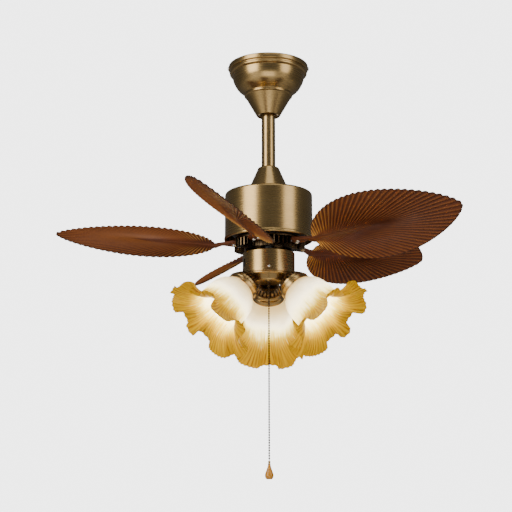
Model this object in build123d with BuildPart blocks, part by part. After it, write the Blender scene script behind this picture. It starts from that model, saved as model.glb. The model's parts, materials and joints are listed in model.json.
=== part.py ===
from build123d import *
import math
import os

os.makedirs("parts", exist_ok=True)

# Ceiling fan with a three-lamp light kit.  Millimetres.
# Frame: origin on the ceiling plane at the centre of the mount, +Z up, -Y is the front.

# --- clearances -----------------------------------------------------------------------------
RUNNING_GAP = 0.05          # radial gap of a shaft in its bearing
FIT_GAP = 0.1               # radial gap of a screw or tube in its hole
BODY_GAP = 0.35             # gap between curved faces that move past each other

# --- ceiling bracket ------------------------------------------------------------------------
BRACKET_T = 3.0
BRACKET_W = 34.0
BRACKET_TAB_X = 74.0        # inner face of the turned-down end tabs
BRACKET_TAB_H = 8.2
BRACKET_LEG_X = 38.0        # outer face of the saddle legs
BOX_HOLE_SPACING = 89.0     # ceiling-box screw spacing
BOX_HOLE_R = 2.6
WIRE_HOLE_R = 14.0
BALL_R = 22.0
BALL_Z = -44.0
SADDLE_Z = -58.5            # underside of the saddle

# --- canopy ---------------------------------------------------------------------------------
CANOPY_R = 78.0
CANOPY_H = 103.0
CANOPY_T = 1.4
CANOPY_MOUTH_R = 22.8
# outer profile as radius and height: rim band, groove and second step, then the bowl and its ridge
CANOPY_BANDS = ((78.0, -10.0), (74.5, -11.0), (74.5, -13.0), (76.0, -14.0), (76.0, -17.5), (71.0, -19.0))
CANOPY_BOWL = ((71.0, -19.0), (67.5, -34.0), (59.0, -48.0), (46.5, -58.5))
CANOPY_RIDGE = ((46.5, -58.5), (47.0, -60.0), (47.0, -63.0), (44.5, -64.5))
CANOPY_INNER_BANDS = ((76.6, -8.6), (73.1, -10.0), (73.1, -17.5), (69.6, -18.5))
CANOPY_INNER_BOWL = ((69.6, -18.5), (66.1, -33.5), (57.0, -46.8), (44.0, -58.0))
CANOPY_INNER_RIDGE = (43.8, -64.0)
CANOPY_SCREW_Z = -5.3
CANOPY_SCREW_R = 2.0
CANOPY_SCREW_TIP_X = 68.0
RING_R = 20.9               # closing ring inside the canopy mouth
RING_HOLE_R = 15.3
RING_Z = -100.5             # underside of the closing ring
RING_T = 1.6
RING_SCREW_X = 18.1
RING_SCREW_LENGTH = 5.6
LIP_OUTER_R = 24.4          # inside of the cone where the screw lip meets it
LIP_TOP_Z = -97.3

SMALL_SCREW_R = 1.5
SMALL_HEAD_R = 2.6
SMALL_HEAD_H = 1.6

# --- downrod and yoke -----------------------------------------------------------------------
ROD_R = 13.35               # nominal 3/4 inch pipe
ROD_WALL = 2.9
ROD_TOP_Z = -27.0
ROD_BOTTOM_Z = -244.0
PIN_R = 3.0
PIN_TOP_Z = -36.0
PIN_BOTTOM_Z = -228.0
YOKE_TOP_Z = -217.0
YOKE_R = 18.2
YOKE_FLANGE_R = 34.0
YOKE_FLANGE_T = 5.0
YOKE_SCREW_R = 27.0         # pitch radius of the yoke screws
YOKE_SCREW_COUNT = 3
YOKE_SCREW_PHASE = 90.0
COVER_TOP_Z = -208.0
COVER_SHOULDER_R = 21.3
COVER_SHOULDER_Z = -212.0
COVER_CROWN_R = 18.3
COVER_BASE_R = 41.5
COVER_T = 1.3

# --- motor ----------------------------------------------------------------------------------
MOTOR_TOP_Z = -260.0
MOTOR_BOTTOM_Z = -351.0
MOTOR_R = 84.0
MOTOR_WALL = 1.6
MOTOR_EDGE_R = 5.0
BEAD_R = 2.0                # rolled bead at the housing's lower edge
SHAFT_R = 8.0
SHAFT_BORE_R = 4.8
SHAFT_BOTTOM_Z = -392.0
STATOR_R = 61.5
STATOR_TOP_Z = -297.0
STATOR_BOTTOM_Z = -323.0
STATOR_SLOTS = 18
SLOT_DEPTH = 14.0
TOOTH_TIP_T = 2.0
SLOT_WIDTH = 6.0
COIL_R_IN = 38.0
COIL_R_OUT = 57.0
COIL_H = 10.0
ROTOR_R = 72.0
ROTOR_WALL = 4.0
CAGE_T = 5.5
ROTOR_TOP_Z = -278.0
ROTOR_SPLIT_Z = -310.0
ROTOR_BOTTOM_Z = -343.0
BEARING_R = 16.0
BEARING_H = 9.0

# --- flywheel -------------------------------------------------------------------------------
FLY_TOP_Z = -353.0
FLY_PLATE_T = 3.0
POCKET_RUNOUT = 6.0         # how much longer a blade-root pocket is than the root
POCKET_PLAY = 2.0           # how much wider it is
FLY_BOTTOM_Z = -371.0
FLY_R = 70.0
FLY_INNER_R = 44.0
FLY_WALL = 2.0
FLY_HUB_R = 26.0
RIB_COUNT = 50
RIB_T = 1.7
RIB_SKEW = 24.0

# --- blades ---------------------------------------------------------------------------------
BLADE_COUNT = 5
BLADE_PHASE = -35.0         # plan angle of the first blade, degrees from +X
SPAN_R = 406.4              # 32 inch sweep
LEAF_BASE_R = 102.0
LEAF_WIDTH = 164.0
LEAF_T = 4.0
LEAF_PITCH = 33.0
LEAF_RISE = 4.5             # upward angle of the midrib, degrees
LEAF_BASE_Z = -363.0
LEAF_SKEW = 0.8             # below 1 moves the widest station towards the base
LEAF_FULLNESS = 0.64        # below 1 rounds out the leaf's base and tip
LEAF_SCALLOPS = 22          # scallops along each edge
SCALLOP = 0.12              # bulge of each scallop as a fraction of its chord
ROOT_PLATE_T = 5.5
ROOT_INNER_R = 50.0
ROOT_OUTER_R = 90.0
ROOT_WIDTH = 42.0
NECK_R = 6.5
RIB_TIP_R = 1.6
RIB_LENGTH_FRACTION = 0.5
RIB_OVERLAP = 8.0           # how far the rib runs onto the root plate
BLADE_SCREW_R = 2.4
BLADE_SCREW_HEAD_R = 4.4
BLADE_SCREW_HEAD_H = 2.4
BLADE_SCREW_SPOTS = ((56.0, -12.0), (56.0, 12.0), (66.0, 0.0))

# --- switch housing -------------------------------------------------------------------------
SWITCH_R = 49.7
SWITCH_TOP_Z = -377.0
SWITCH_BOTTOM_Z = -419.0
SWITCH_WALL = 1.5
SWITCH_EDGE_R = 2.5
CARRIER_R = 40.0
CARRIER_HOLE_INSET = 8.0
CARRIER_HOLE_PHASE = 30.0
CARRIER_T = 3.0
SIDE_SCREW_Z = -412.0
REVERSE_ANGLE = 202.0       # plan angle of the reversing switch
REVERSE_Z = -399.0
REVERSE_SLOT_W = 6.0
REVERSE_SLOT_H = 15.0
REVERSE_TRAVEL = 6.0

SHAFT_NUT_R = 12.0
SHAFT_NUT_H = 5.0
SIDE_SCREW_ANGLES = (30.0, 150.0, 270.0)
SIDE_SCREW_LENGTH = 8.0
REVERSE_BODY_R = 47.5       # outer face of the switch body, from the main axis
REVERSE_BODY_DEPTH = 9.0
REVERSE_BODY_W = 14.0
REVERSE_BODY_H = 18.0
REVERSE_TRACK_DEPTH = 4.0
REVERSE_SLIDER_W = 4.4
REVERSE_SLIDER_H = 7.0
REVERSE_NUB = 2.0           # how far the slider stands out of the housing
CAPACITOR_X = 0.0
CAPACITOR_Y = 26.0
CAPACITOR_Z = -408.0
CAPACITOR_W = 34.0
CAPACITOR_D = 16.0
CAPACITOR_H = 22.0

# --- light kit ------------------------------------------------------------------------------
FITTER_RING_R = 48.2
FITTER_TOP_R = 46.0
FITTER_BOTTOM_R = 31.4
FITTER_CONE_Z = -423.0
FITTER_BOTTOM_Z = -434.0
FITTER_T = 1.5
FITTER_SKIRT_Z = -408.0        # top of the skirt inside the switch housing
LAMP_ANGLES = (90.0, 210.0, 330.0)
LAMP_TILT = 45.0            # lamp axis below the horizontal
LAMP_R = 62.5               # distance of the holder mouth's centre from the main axis
LAMP_Z = -452.0
CAP_BACK_S = -31.0          # s is the distance along the lamp axis from the holder mouth
CAP_FRONT_S = -17.5
CAP_BACK_R = 13.0
CAP_FRONT_R = 25.5
CAP_SHOULDER_R = 20.5
CAP_SHOULDER_S = -28.0
CAP_T = 1.6
FLUTES = 18
FLUTE_R = 2.0
FLUTE_LENGTH = 30.0
HOLDER_R = 31.0
HOLDER_NECK_R = 28.0
HOLDER_STEP_S = -10.0        # where the collar steps out to take the shade's neck
HOLDER_T = 1.3
NIPPLE_R = 5.0
NIPPLE_BACK_S = -42.0
SOCKET_R = 16.0
SOCKET_FRONT_S = 5.0
BULB_BASE_R = 13.0
BULB_BASE_S = -22.0
BULB_CONTACT_R = 6.0
BULB_R = 23.5
BULB_TIP_S = 70.0
SHADE_T = 3.0
SHADE_NECK_R = 28.2
SHADE_NECK_S = -8.5
SHADE_LENGTH = 97.0
SHADE_RIM_R = 91.0
SHADE_WAVES = 8
WAVE_RADIUS = 24.0
WAVE_DEPTH = 5.0
# outer profile of a shade: radius and distance along the lamp axis
SHADE_PROFILE = (
    (28.4, 1.0),
    (33.0, 6.0),
    (39.0, 13.0),
    (43.5, 23.0),
    (45.5, 36.0),
    (46.5, 50.0),
    (48.5, 63.0),
    (53.0, 74.0),
    (62.0, 84.0),
    (75.0, 91.5),
    (SHADE_RIM_R, SHADE_LENGTH),
)
THUMB_SCREW_R = 1.6
THUMB_HEAD_R = 2.4
THUMB_HEAD_H = 1.8
THUMB_SCREW_S = -4.0
THUMB_SCREW_COUNT = 3
THUMB_SCREW_PHASE = 270.0

# --- pull chain -----------------------------------------------------------------------------
CHAIN_Y = -17.0
CHAIN_R = 1.9
CHAIN_TOP_Z = -424.0
CHAIN_BOTTOM_Z = -769.0
CONNECTOR_R = 2.6
BUSHING_R = 3.8
BUSHING_FLANGE_T = 1.6
PULL_SWITCH_W = 18.0
PULL_SWITCH_D = 14.0
PULL_SWITCH_H = 12.0
KNOB_TOP_Z = -776.0
KNOB_BOTTOM_Z = -802.0
KNOB_PROFILE = ((2.6, -776.0), (5.0, -784.0), (8.0, -794.5), (5.8, -800.8))   # radius and height
KNOB_END_R = 4.4


def direction(angle, elevation=0.0):
    """Unit vector at a plan angle and an elevation, both in degrees."""
    plan = math.radians(angle)
    lift = math.radians(elevation)
    return Vector(math.cos(plan) * math.cos(lift), math.sin(plan) * math.cos(lift), math.sin(lift))


def lamp_axis(angle):
    """Axis of a lamp, starting at the centre of its holder's mouth."""
    mouth = direction(angle) * LAMP_R + Vector(0, 0, LAMP_Z)
    return Axis(mouth, direction(angle, -LAMP_TILT))


def lamp_profile_plane(angle):
    """Plane holding a lamp's axis: local X is the radius, local Y the distance along the axis."""
    axis = lamp_axis(angle)
    across = direction(angle, 90.0 - LAMP_TILT)
    return Plane(origin=axis.position, x_dir=across, z_dir=across.cross(axis.direction))


def lamp_cross_plane(angle, distance):
    """Plane square to a lamp's axis at a distance from the holder's mouth."""
    axis = lamp_axis(angle)
    tangent = direction(angle + 90.0)
    return Plane(origin=axis.position + axis.direction * distance, x_dir=tangent, z_dir=axis.direction)


def radial_plane(angle, radius, height):
    """Plane facing outwards at a plan angle: local X is level, local Y points up."""
    origin = direction(angle) * radius + Vector(0, 0, height)
    return Plane(origin=origin, x_dir=direction(angle + 90.0), z_dir=direction(angle))


def root_plane(angle, height):
    """Level plane with local X along a blade's radius."""
    return Plane(origin=(0, 0, height), x_dir=direction(angle), z_dir=(0, 0, 1))


def leaf_plane(angle):
    """Mid-plane of a leaf: local X along the midrib, local Y to the lowered edge."""
    along = direction(angle, LEAF_RISE)
    level = direction(angle + 90.0)
    up = along.cross(level)
    pitch = math.radians(LEAF_PITCH)
    across = level * math.cos(pitch) - up * math.sin(pitch)
    origin = direction(angle) * LEAF_BASE_R + Vector(0, 0, LEAF_BASE_Z)
    return Plane(origin=origin, x_dir=along, z_dir=along.cross(across))


LEAF_LENGTH = (SPAN_R - LEAF_BASE_R) / math.cos(math.radians(LEAF_RISE))
BLADE_ANGLES = [BLADE_PHASE + i * 360.0 / BLADE_COUNT for i in range(BLADE_COUNT)]

# ============================================================================================
# Ceiling side: bracket and canopy
# ============================================================================================
with BuildPart() as hanger_bracket:
    with BuildSketch(Plane.XZ):
        with BuildLine():
            Polyline(
                (BRACKET_TAB_X, 0),
                (BRACKET_TAB_X, -BRACKET_TAB_H),
                (BRACKET_TAB_X - BRACKET_T, -BRACKET_TAB_H),
                (BRACKET_TAB_X - BRACKET_T, -BRACKET_T),
                (BRACKET_LEG_X, -BRACKET_T),
                (BRACKET_LEG_X, SADDLE_Z),
                (-BRACKET_LEG_X, SADDLE_Z),
                (-BRACKET_LEG_X, -BRACKET_T),
                (-BRACKET_TAB_X + BRACKET_T, -BRACKET_T),
                (-BRACKET_TAB_X + BRACKET_T, -BRACKET_TAB_H),
                (-BRACKET_TAB_X, -BRACKET_TAB_H),
                (-BRACKET_TAB_X, 0),
                close=True,
            )
        make_face()
    extrude(amount=BRACKET_W / 2, both=True)
    with BuildSketch(Plane.XZ):
        with BuildLine():
            Polyline(
                (BRACKET_LEG_X - BRACKET_T, -BRACKET_T),
                (BRACKET_LEG_X - BRACKET_T, SADDLE_Z + BRACKET_T),
                (-BRACKET_LEG_X + BRACKET_T, SADDLE_Z + BRACKET_T),
                (-BRACKET_LEG_X + BRACKET_T, -BRACKET_T),
                close=True,
            )
        make_face()
    extrude(amount=BRACKET_W / 2, both=True, mode=Mode.SUBTRACT)
    with BuildSketch(Plane.XY.offset(-BRACKET_T)):
        Circle(WIRE_HOLE_R)
        with Locations((BOX_HOLE_SPACING / 2, 0), (-BOX_HOLE_SPACING / 2, 0)):
            Circle(BOX_HOLE_R)
    extrude(amount=BRACKET_T, mode=Mode.SUBTRACT)
    # seat of the hanger ball
    with BuildSketch(Plane.XY.offset(SADDLE_Z)):
        Circle(math.sqrt(BALL_R**2 - (BALL_Z - SADDLE_Z - BRACKET_T) ** 2) + BODY_GAP)
    extrude(amount=BRACKET_T, mode=Mode.SUBTRACT)
    # holes for the canopy's side screws
    with BuildSketch(Plane.YZ.offset(-BRACKET_TAB_X)):
        with Locations((0, CANOPY_SCREW_Z)):
            Circle(CANOPY_SCREW_R + FIT_GAP)
    extrude(amount=BRACKET_T, mode=Mode.SUBTRACT)
    with BuildSketch(Plane.YZ.offset(BRACKET_TAB_X - BRACKET_T)):
        with Locations((0, CANOPY_SCREW_Z)):
            Circle(CANOPY_SCREW_R + FIT_GAP)
    extrude(amount=BRACKET_T, mode=Mode.SUBTRACT)

with BuildPart() as canopy:
    # outer skin: rim band, groove, second step, bowl, ridge and cone
    with BuildSketch(Plane.XZ):
        with BuildLine():
            Polyline(
                (0, 0),
                (CANOPY_R, 0),
                *CANOPY_BANDS,
            )
            Spline(*CANOPY_BOWL)
            Polyline(*CANOPY_RIDGE, (CANOPY_MOUTH_R, -CANOPY_H), (0, -CANOPY_H), (0, 0))
        make_face()
    revolve(axis=Axis.Z)
    # hollow inside
    with BuildSketch(Plane.XZ):
        with BuildLine():
            Polyline(
                (0, 0),
                (CANOPY_R - CANOPY_T, 0),
                *CANOPY_INNER_BANDS,
            )
            Spline(*CANOPY_INNER_BOWL)
            Polyline(
                CANOPY_INNER_BOWL[-1],
                CANOPY_INNER_RIDGE,
                (LIP_OUTER_R, LIP_TOP_Z),
                (RING_HOLE_R, LIP_TOP_Z),
                (RING_HOLE_R, RING_Z),
                (0, RING_Z),
                (0, 0),
            )
        make_face()
    revolve(axis=Axis.Z, mode=Mode.SUBTRACT)
    # recess for the closing ring, and the lip it is screwed to
    with BuildSketch(Plane.XY.offset(-CANOPY_H)):
        Circle(RING_R + FIT_GAP)
    extrude(amount=CANOPY_H + RING_Z + RING_T, mode=Mode.SUBTRACT)
    with BuildSketch(Plane.YZ.offset(-CANOPY_R - 1.0)):
        with Locations((0, CANOPY_SCREW_Z)):
            Circle(CANOPY_SCREW_R + FIT_GAP)
    extrude(amount=2 * CANOPY_R + 2.0, mode=Mode.SUBTRACT)
    # holes for the ring screws
    with BuildSketch(Plane.XY.offset(RING_Z)):
        with Locations((RING_SCREW_X, 0), (-RING_SCREW_X, 0)):
            Circle(SMALL_SCREW_R + FIT_GAP)
    extrude(amount=LIP_TOP_Z - RING_Z, mode=Mode.SUBTRACT)

with BuildPart() as canopy_ring:
    with BuildSketch(Plane.XY.offset(RING_Z)):
        Circle(RING_R)
        Circle(RING_HOLE_R, mode=Mode.SUBTRACT)
        with Locations((RING_SCREW_X, 0), (-RING_SCREW_X, 0)):
            Circle(SMALL_SCREW_R + FIT_GAP, mode=Mode.SUBTRACT)
    extrude(amount=RING_T)

with BuildPart() as canopy_ring_screws:
    with BuildSketch(Plane.XY.offset(RING_Z - SMALL_HEAD_H)):
        with Locations((RING_SCREW_X, 0), (-RING_SCREW_X, 0)):
            Circle(SMALL_HEAD_R)
    extrude(amount=SMALL_HEAD_H)
    with BuildSketch(Plane.XY.offset(RING_Z)):
        with Locations((RING_SCREW_X, 0), (-RING_SCREW_X, 0)):
            Circle(SMALL_SCREW_R)
    extrude(amount=RING_SCREW_LENGTH)

with BuildPart() as canopy_side_screws:
    for side in (0.0, 180.0):
        with BuildSketch(radial_plane(side, CANOPY_R, CANOPY_SCREW_Z)):
            Circle(2 * CANOPY_SCREW_R)
        extrude(amount=BLADE_SCREW_HEAD_H)
        with BuildSketch(radial_plane(side, CANOPY_SCREW_TIP_X, CANOPY_SCREW_Z)):
            Circle(CANOPY_SCREW_R)
        extrude(amount=CANOPY_R - CANOPY_SCREW_TIP_X)

# ============================================================================================
# Hanging side: ball, downrod, yoke and its cover
# ============================================================================================
with BuildPart() as hanger_ball:
    with BuildSketch(Plane.XZ):
        with Locations((0, BALL_Z)):
            Circle(BALL_R)
        with Locations((0, BALL_Z)):
            Rectangle(2 * (ROD_R + RUNNING_GAP), 3 * BALL_R, mode=Mode.SUBTRACT)
        with Locations((-BALL_R, BALL_Z)):
            Rectangle(2 * BALL_R, 3 * BALL_R, mode=Mode.SUBTRACT)
    revolve(axis=Axis.Z)
    # cross hole for the pin
    with BuildSketch(Plane.YZ.offset(-BALL_R)):
        with Locations((0, PIN_TOP_Z)):
            Circle(PIN_R + FIT_GAP)
    extrude(amount=2 * BALL_R, mode=Mode.SUBTRACT)

with BuildPart() as downrod:
    with BuildSketch(Plane.XY.offset(ROD_BOTTOM_Z)):
        Circle(ROD_R)
        Circle(ROD_R - ROD_WALL, mode=Mode.SUBTRACT)
    extrude(amount=ROD_TOP_Z - ROD_BOTTOM_Z)
    with BuildSketch(Plane.YZ.offset(-BALL_R)):
        with Locations((0, PIN_TOP_Z), (0, PIN_BOTTOM_Z)):
            Circle(PIN_R + FIT_GAP)
    extrude(amount=2 * BALL_R, mode=Mode.SUBTRACT)

with BuildPart() as cross_pins:
    with BuildSketch(Plane.YZ.offset(-YOKE_R)):
        with Locations((0, PIN_TOP_Z), (0, PIN_BOTTOM_Z)):
            Circle(PIN_R)
    extrude(amount=2 * YOKE_R)

with BuildPart() as yoke:
    with BuildSketch(Plane.XY.offset(MOTOR_TOP_Z)):
        Circle(YOKE_FLANGE_R)
    extrude(amount=YOKE_FLANGE_T)
    with BuildSketch(Plane.XY.offset(MOTOR_TOP_Z)):
        Circle(YOKE_R)
    extrude(amount=YOKE_TOP_Z - MOTOR_TOP_Z)
    # socket for the downrod
    with BuildSketch(Plane.XY.offset(ROD_BOTTOM_Z)):
        Circle(ROD_R + RUNNING_GAP)
    extrude(amount=YOKE_TOP_Z - ROD_BOTTOM_Z, mode=Mode.SUBTRACT)
    # socket for the motor shaft
    with BuildSketch(Plane.XY.offset(MOTOR_TOP_Z)):
        Circle(SHAFT_R + RUNNING_GAP)
    extrude(amount=ROD_BOTTOM_Z - MOTOR_TOP_Z, mode=Mode.SUBTRACT)
    with BuildSketch(Plane.XY.offset(MOTOR_TOP_Z)):
        with PolarLocations(YOKE_SCREW_R, YOKE_SCREW_COUNT, start_angle=YOKE_SCREW_PHASE):
            Circle(BLADE_SCREW_R + FIT_GAP)
    extrude(amount=YOKE_FLANGE_T, mode=Mode.SUBTRACT)
    with BuildSketch(Plane.YZ.offset(-YOKE_R)):
        with Locations((0, PIN_BOTTOM_Z)):
            Circle(PIN_R + FIT_GAP)
    extrude(amount=2 * YOKE_R, mode=Mode.SUBTRACT)

with BuildPart() as yoke_screws:
    with BuildSketch(Plane.XY.offset(MOTOR_TOP_Z + YOKE_FLANGE_T)):
        with PolarLocations(YOKE_SCREW_R, YOKE_SCREW_COUNT, start_angle=YOKE_SCREW_PHASE):
            Circle(BLADE_SCREW_HEAD_R)
    extrude(amount=BLADE_SCREW_HEAD_H)
    with BuildSketch(Plane.XY.offset(MOTOR_TOP_Z - 3 * MOTOR_WALL)):
        with PolarLocations(YOKE_SCREW_R, YOKE_SCREW_COUNT, start_angle=YOKE_SCREW_PHASE):
            Circle(BLADE_SCREW_R)
    extrude(amount=YOKE_FLANGE_T + 3 * MOTOR_WALL)

with BuildPart() as yoke_cover:
    with BuildSketch(Plane.XZ):
        with BuildLine():
            Polyline(
                (ROD_R + BODY_GAP, COVER_TOP_Z),
                (COVER_CROWN_R, COVER_TOP_Z),
                (COVER_SHOULDER_R, COVER_SHOULDER_Z),
                (COVER_BASE_R, MOTOR_TOP_Z + COVER_T),
                (COVER_BASE_R, MOTOR_TOP_Z),
                (COVER_BASE_R - COVER_T, MOTOR_TOP_Z),
                (COVER_BASE_R - COVER_T, MOTOR_TOP_Z + COVER_T),
                (COVER_SHOULDER_R - COVER_T, COVER_SHOULDER_Z),
                (COVER_CROWN_R - COVER_T / 2, COVER_TOP_Z - COVER_T),
                (ROD_R + BODY_GAP, COVER_TOP_Z - COVER_T),
                close=True,
            )
        make_face()
    revolve(axis=Axis.Z)

# ============================================================================================
# Motor: fixed housing, shaft and stator
# ============================================================================================
with BuildPart() as motor_housing:
    with BuildSketch(Plane.XZ):
        with BuildLine():
            Polyline(
                (SHAFT_R + BODY_GAP, MOTOR_TOP_Z),
                (MOTOR_R, MOTOR_TOP_Z),
                (MOTOR_R, MOTOR_BOTTOM_Z),
                (MOTOR_R - MOTOR_WALL, MOTOR_BOTTOM_Z),
                (MOTOR_R - MOTOR_WALL, MOTOR_TOP_Z - MOTOR_WALL),
                (SHAFT_R + BODY_GAP, MOTOR_TOP_Z - MOTOR_WALL),
                close=True,
            )
        make_face()
    revolve(axis=Axis.Z)
    fillet(motor_housing.edges().filter_by(GeomType.CIRCLE).group_by(Axis.Z)[-1].sort_by(SortBy.RADIUS)[-1],
           radius=MOTOR_EDGE_R)
    # rolled bead along the lower edge
    with BuildSketch(Plane.XZ):
        with Locations((MOTOR_R - MOTOR_WALL / 2, MOTOR_BOTTOM_Z)):
            Circle(BEAD_R)
    revolve(axis=Axis.Z)
    with BuildSketch(Plane.XY.offset(MOTOR_TOP_Z - MOTOR_WALL)):
        with PolarLocations(YOKE_SCREW_R, YOKE_SCREW_COUNT, start_angle=YOKE_SCREW_PHASE):
            Circle(BLADE_SCREW_R + FIT_GAP)
    extrude(amount=MOTOR_WALL, mode=Mode.SUBTRACT)

with BuildPart() as motor_shaft:
    with BuildSketch(Plane.XY.offset(SHAFT_BOTTOM_Z)):
        Circle(SHAFT_R)
        Circle(SHAFT_BORE_R, mode=Mode.SUBTRACT)
    extrude(amount=ROD_BOTTOM_Z - SHAFT_BOTTOM_Z)

with BuildPart() as stator_core:
    with BuildSketch(Plane.XY.offset(STATOR_BOTTOM_Z)):
        Circle(STATOR_R)
        Circle(SHAFT_R, mode=Mode.SUBTRACT)
        with PolarLocations(STATOR_R - SLOT_DEPTH / 2, STATOR_SLOTS):
            Rectangle(SLOT_DEPTH - 2 * TOOTH_TIP_T, SLOT_WIDTH, mode=Mode.SUBTRACT)
        with PolarLocations(STATOR_R, STATOR_SLOTS):
            Rectangle(SLOT_DEPTH, SLOT_WIDTH / 3, mode=Mode.SUBTRACT)
    extrude(amount=STATOR_TOP_Z - STATOR_BOTTOM_Z)

with BuildPart() as stator_windings:
    # one coil head above the core and one below
    with BuildSketch(Plane.XY.offset(STATOR_TOP_Z)):
        Circle(COIL_R_OUT)
        Circle(COIL_R_IN, mode=Mode.SUBTRACT)
    extrude(amount=COIL_H)
    with BuildSketch(Plane.XY.offset(STATOR_BOTTOM_Z - COIL_H)):
        Circle(COIL_R_OUT)
        Circle(COIL_R_IN, mode=Mode.SUBTRACT)
    extrude(amount=COIL_H)

# ============================================================================================
# Rotor: bearings, shells, cage and flywheel
# ============================================================================================
with BuildPart() as bearing_upper:
    with BuildSketch(Plane.XY.offset(ROTOR_TOP_Z - BEARING_H)):
        Circle(BEARING_R)
        Circle(SHAFT_R + RUNNING_GAP, mode=Mode.SUBTRACT)
    extrude(amount=BEARING_H)

with BuildPart() as bearing_lower:
    with BuildSketch(Plane.XY.offset(ROTOR_BOTTOM_Z)):
        Circle(BEARING_R)
        Circle(SHAFT_R + RUNNING_GAP, mode=Mode.SUBTRACT)
    extrude(amount=BEARING_H)

with BuildPart() as rotor_upper_shell:
    with BuildSketch(Plane.XZ):
        with BuildLine():
            Polyline(
                (BEARING_R, ROTOR_TOP_Z),
                (BEARING_R + ROTOR_WALL, ROTOR_TOP_Z),
                (BEARING_R + ROTOR_WALL, ROTOR_TOP_Z - ROTOR_WALL),
                (ROTOR_R - ROTOR_WALL, ROTOR_TOP_Z - ROTOR_WALL),
                (ROTOR_R, ROTOR_TOP_Z - 2 * ROTOR_WALL),
                (ROTOR_R, ROTOR_SPLIT_Z),
                (ROTOR_R - ROTOR_WALL, ROTOR_SPLIT_Z),
                (ROTOR_R - ROTOR_WALL, ROTOR_TOP_Z - 2 * ROTOR_WALL),
                (BEARING_R + ROTOR_WALL, ROTOR_TOP_Z - 2 * ROTOR_WALL),
                (BEARING_R + ROTOR_WALL, ROTOR_TOP_Z - BEARING_H),
                (BEARING_R, ROTOR_TOP_Z - BEARING_H),
                close=True,
            )
        make_face()
    revolve(axis=Axis.Z)

with BuildPart() as rotor_lower_shell:
    with BuildSketch(Plane.XZ):
        with BuildLine():
            Polyline(
                (BEARING_R, ROTOR_BOTTOM_Z),
                (BEARING_R, ROTOR_BOTTOM_Z + BEARING_H),
                (BEARING_R + ROTOR_WALL, ROTOR_BOTTOM_Z + BEARING_H),
                (BEARING_R + ROTOR_WALL, ROTOR_BOTTOM_Z + ROTOR_WALL),
                (ROTOR_R - ROTOR_WALL, ROTOR_BOTTOM_Z + ROTOR_WALL),
                (ROTOR_R - ROTOR_WALL, ROTOR_SPLIT_Z),
                (ROTOR_R, ROTOR_SPLIT_Z),
                (ROTOR_R, ROTOR_BOTTOM_Z + ROTOR_WALL),
                (ROTOR_R - ROTOR_WALL, ROTOR_BOTTOM_Z),
                (FLY_HUB_R + ROTOR_WALL, ROTOR_BOTTOM_Z),
                (FLY_HUB_R + ROTOR_WALL, FLY_TOP_Z),
                (BEARING_R, FLY_TOP_Z),
                close=True,
            )
        make_face()
    revolve(axis=Axis.Z)

with BuildPart() as rotor_cage:
    with BuildSketch(Plane.XY.offset(STATOR_BOTTOM_Z)):
        Circle(ROTOR_R - ROTOR_WALL)
        Circle(ROTOR_R - ROTOR_WALL - CAGE_T, mode=Mode.SUBTRACT)
    extrude(amount=STATOR_TOP_Z - STATOR_BOTTOM_Z)

with BuildPart() as flywheel:
    with BuildSketch(Plane.XY.offset(FLY_TOP_Z - FLY_PLATE_T)):
        Circle(FLY_R)
        Circle(BEARING_R, mode=Mode.SUBTRACT)
    extrude(amount=FLY_PLATE_T)
    with BuildSketch(Plane.XY.offset(FLY_BOTTOM_Z)):
        Circle(FLY_INNER_R + FLY_WALL)
        Circle(FLY_INNER_R, mode=Mode.SUBTRACT)
        # skewed vent ribs
        with PolarLocations((FLY_INNER_R + FLY_R) / 2, RIB_COUNT):
            Rectangle(FLY_R - FLY_INNER_R, RIB_T, rotation=RIB_SKEW)
    extrude(amount=FLY_TOP_Z - FLY_PLATE_T - FLY_BOTTOM_Z)
    # pockets for the blade roots
    with BuildSketch(Plane.XY.offset(FLY_BOTTOM_Z)):
        with PolarLocations((ROOT_INNER_R + FLY_R) / 2, BLADE_COUNT, start_angle=BLADE_PHASE):
            Rectangle(FLY_R - ROOT_INNER_R + POCKET_RUNOUT, ROOT_WIDTH + POCKET_PLAY)
    extrude(amount=FLY_TOP_Z - FLY_PLATE_T - FLY_BOTTOM_Z, mode=Mode.SUBTRACT)
    for angle in BLADE_ANGLES:
        with BuildSketch(root_plane(angle, FLY_TOP_Z - FLY_PLATE_T)):
            with Locations(*BLADE_SCREW_SPOTS):
                Circle(BLADE_SCREW_R + FIT_GAP)
        extrude(amount=FLY_PLATE_T, mode=Mode.SUBTRACT)

# ============================================================================================
# Blades
# ============================================================================================
def leaf_edge():
    """Points along the raised edge of a leaf, from base to tip, in the leaf's plane."""
    points = []
    for i in range(1, LEAF_SCALLOPS):
        station = (1.0 - math.cos(math.pi * i / LEAF_SCALLOPS)) / 2
        fullness = math.sin(math.pi * station**LEAF_SKEW) ** LEAF_FULLNESS
        points.append((station * LEAF_LENGTH, fullness * LEAF_WIDTH / 2))
    return points


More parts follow.
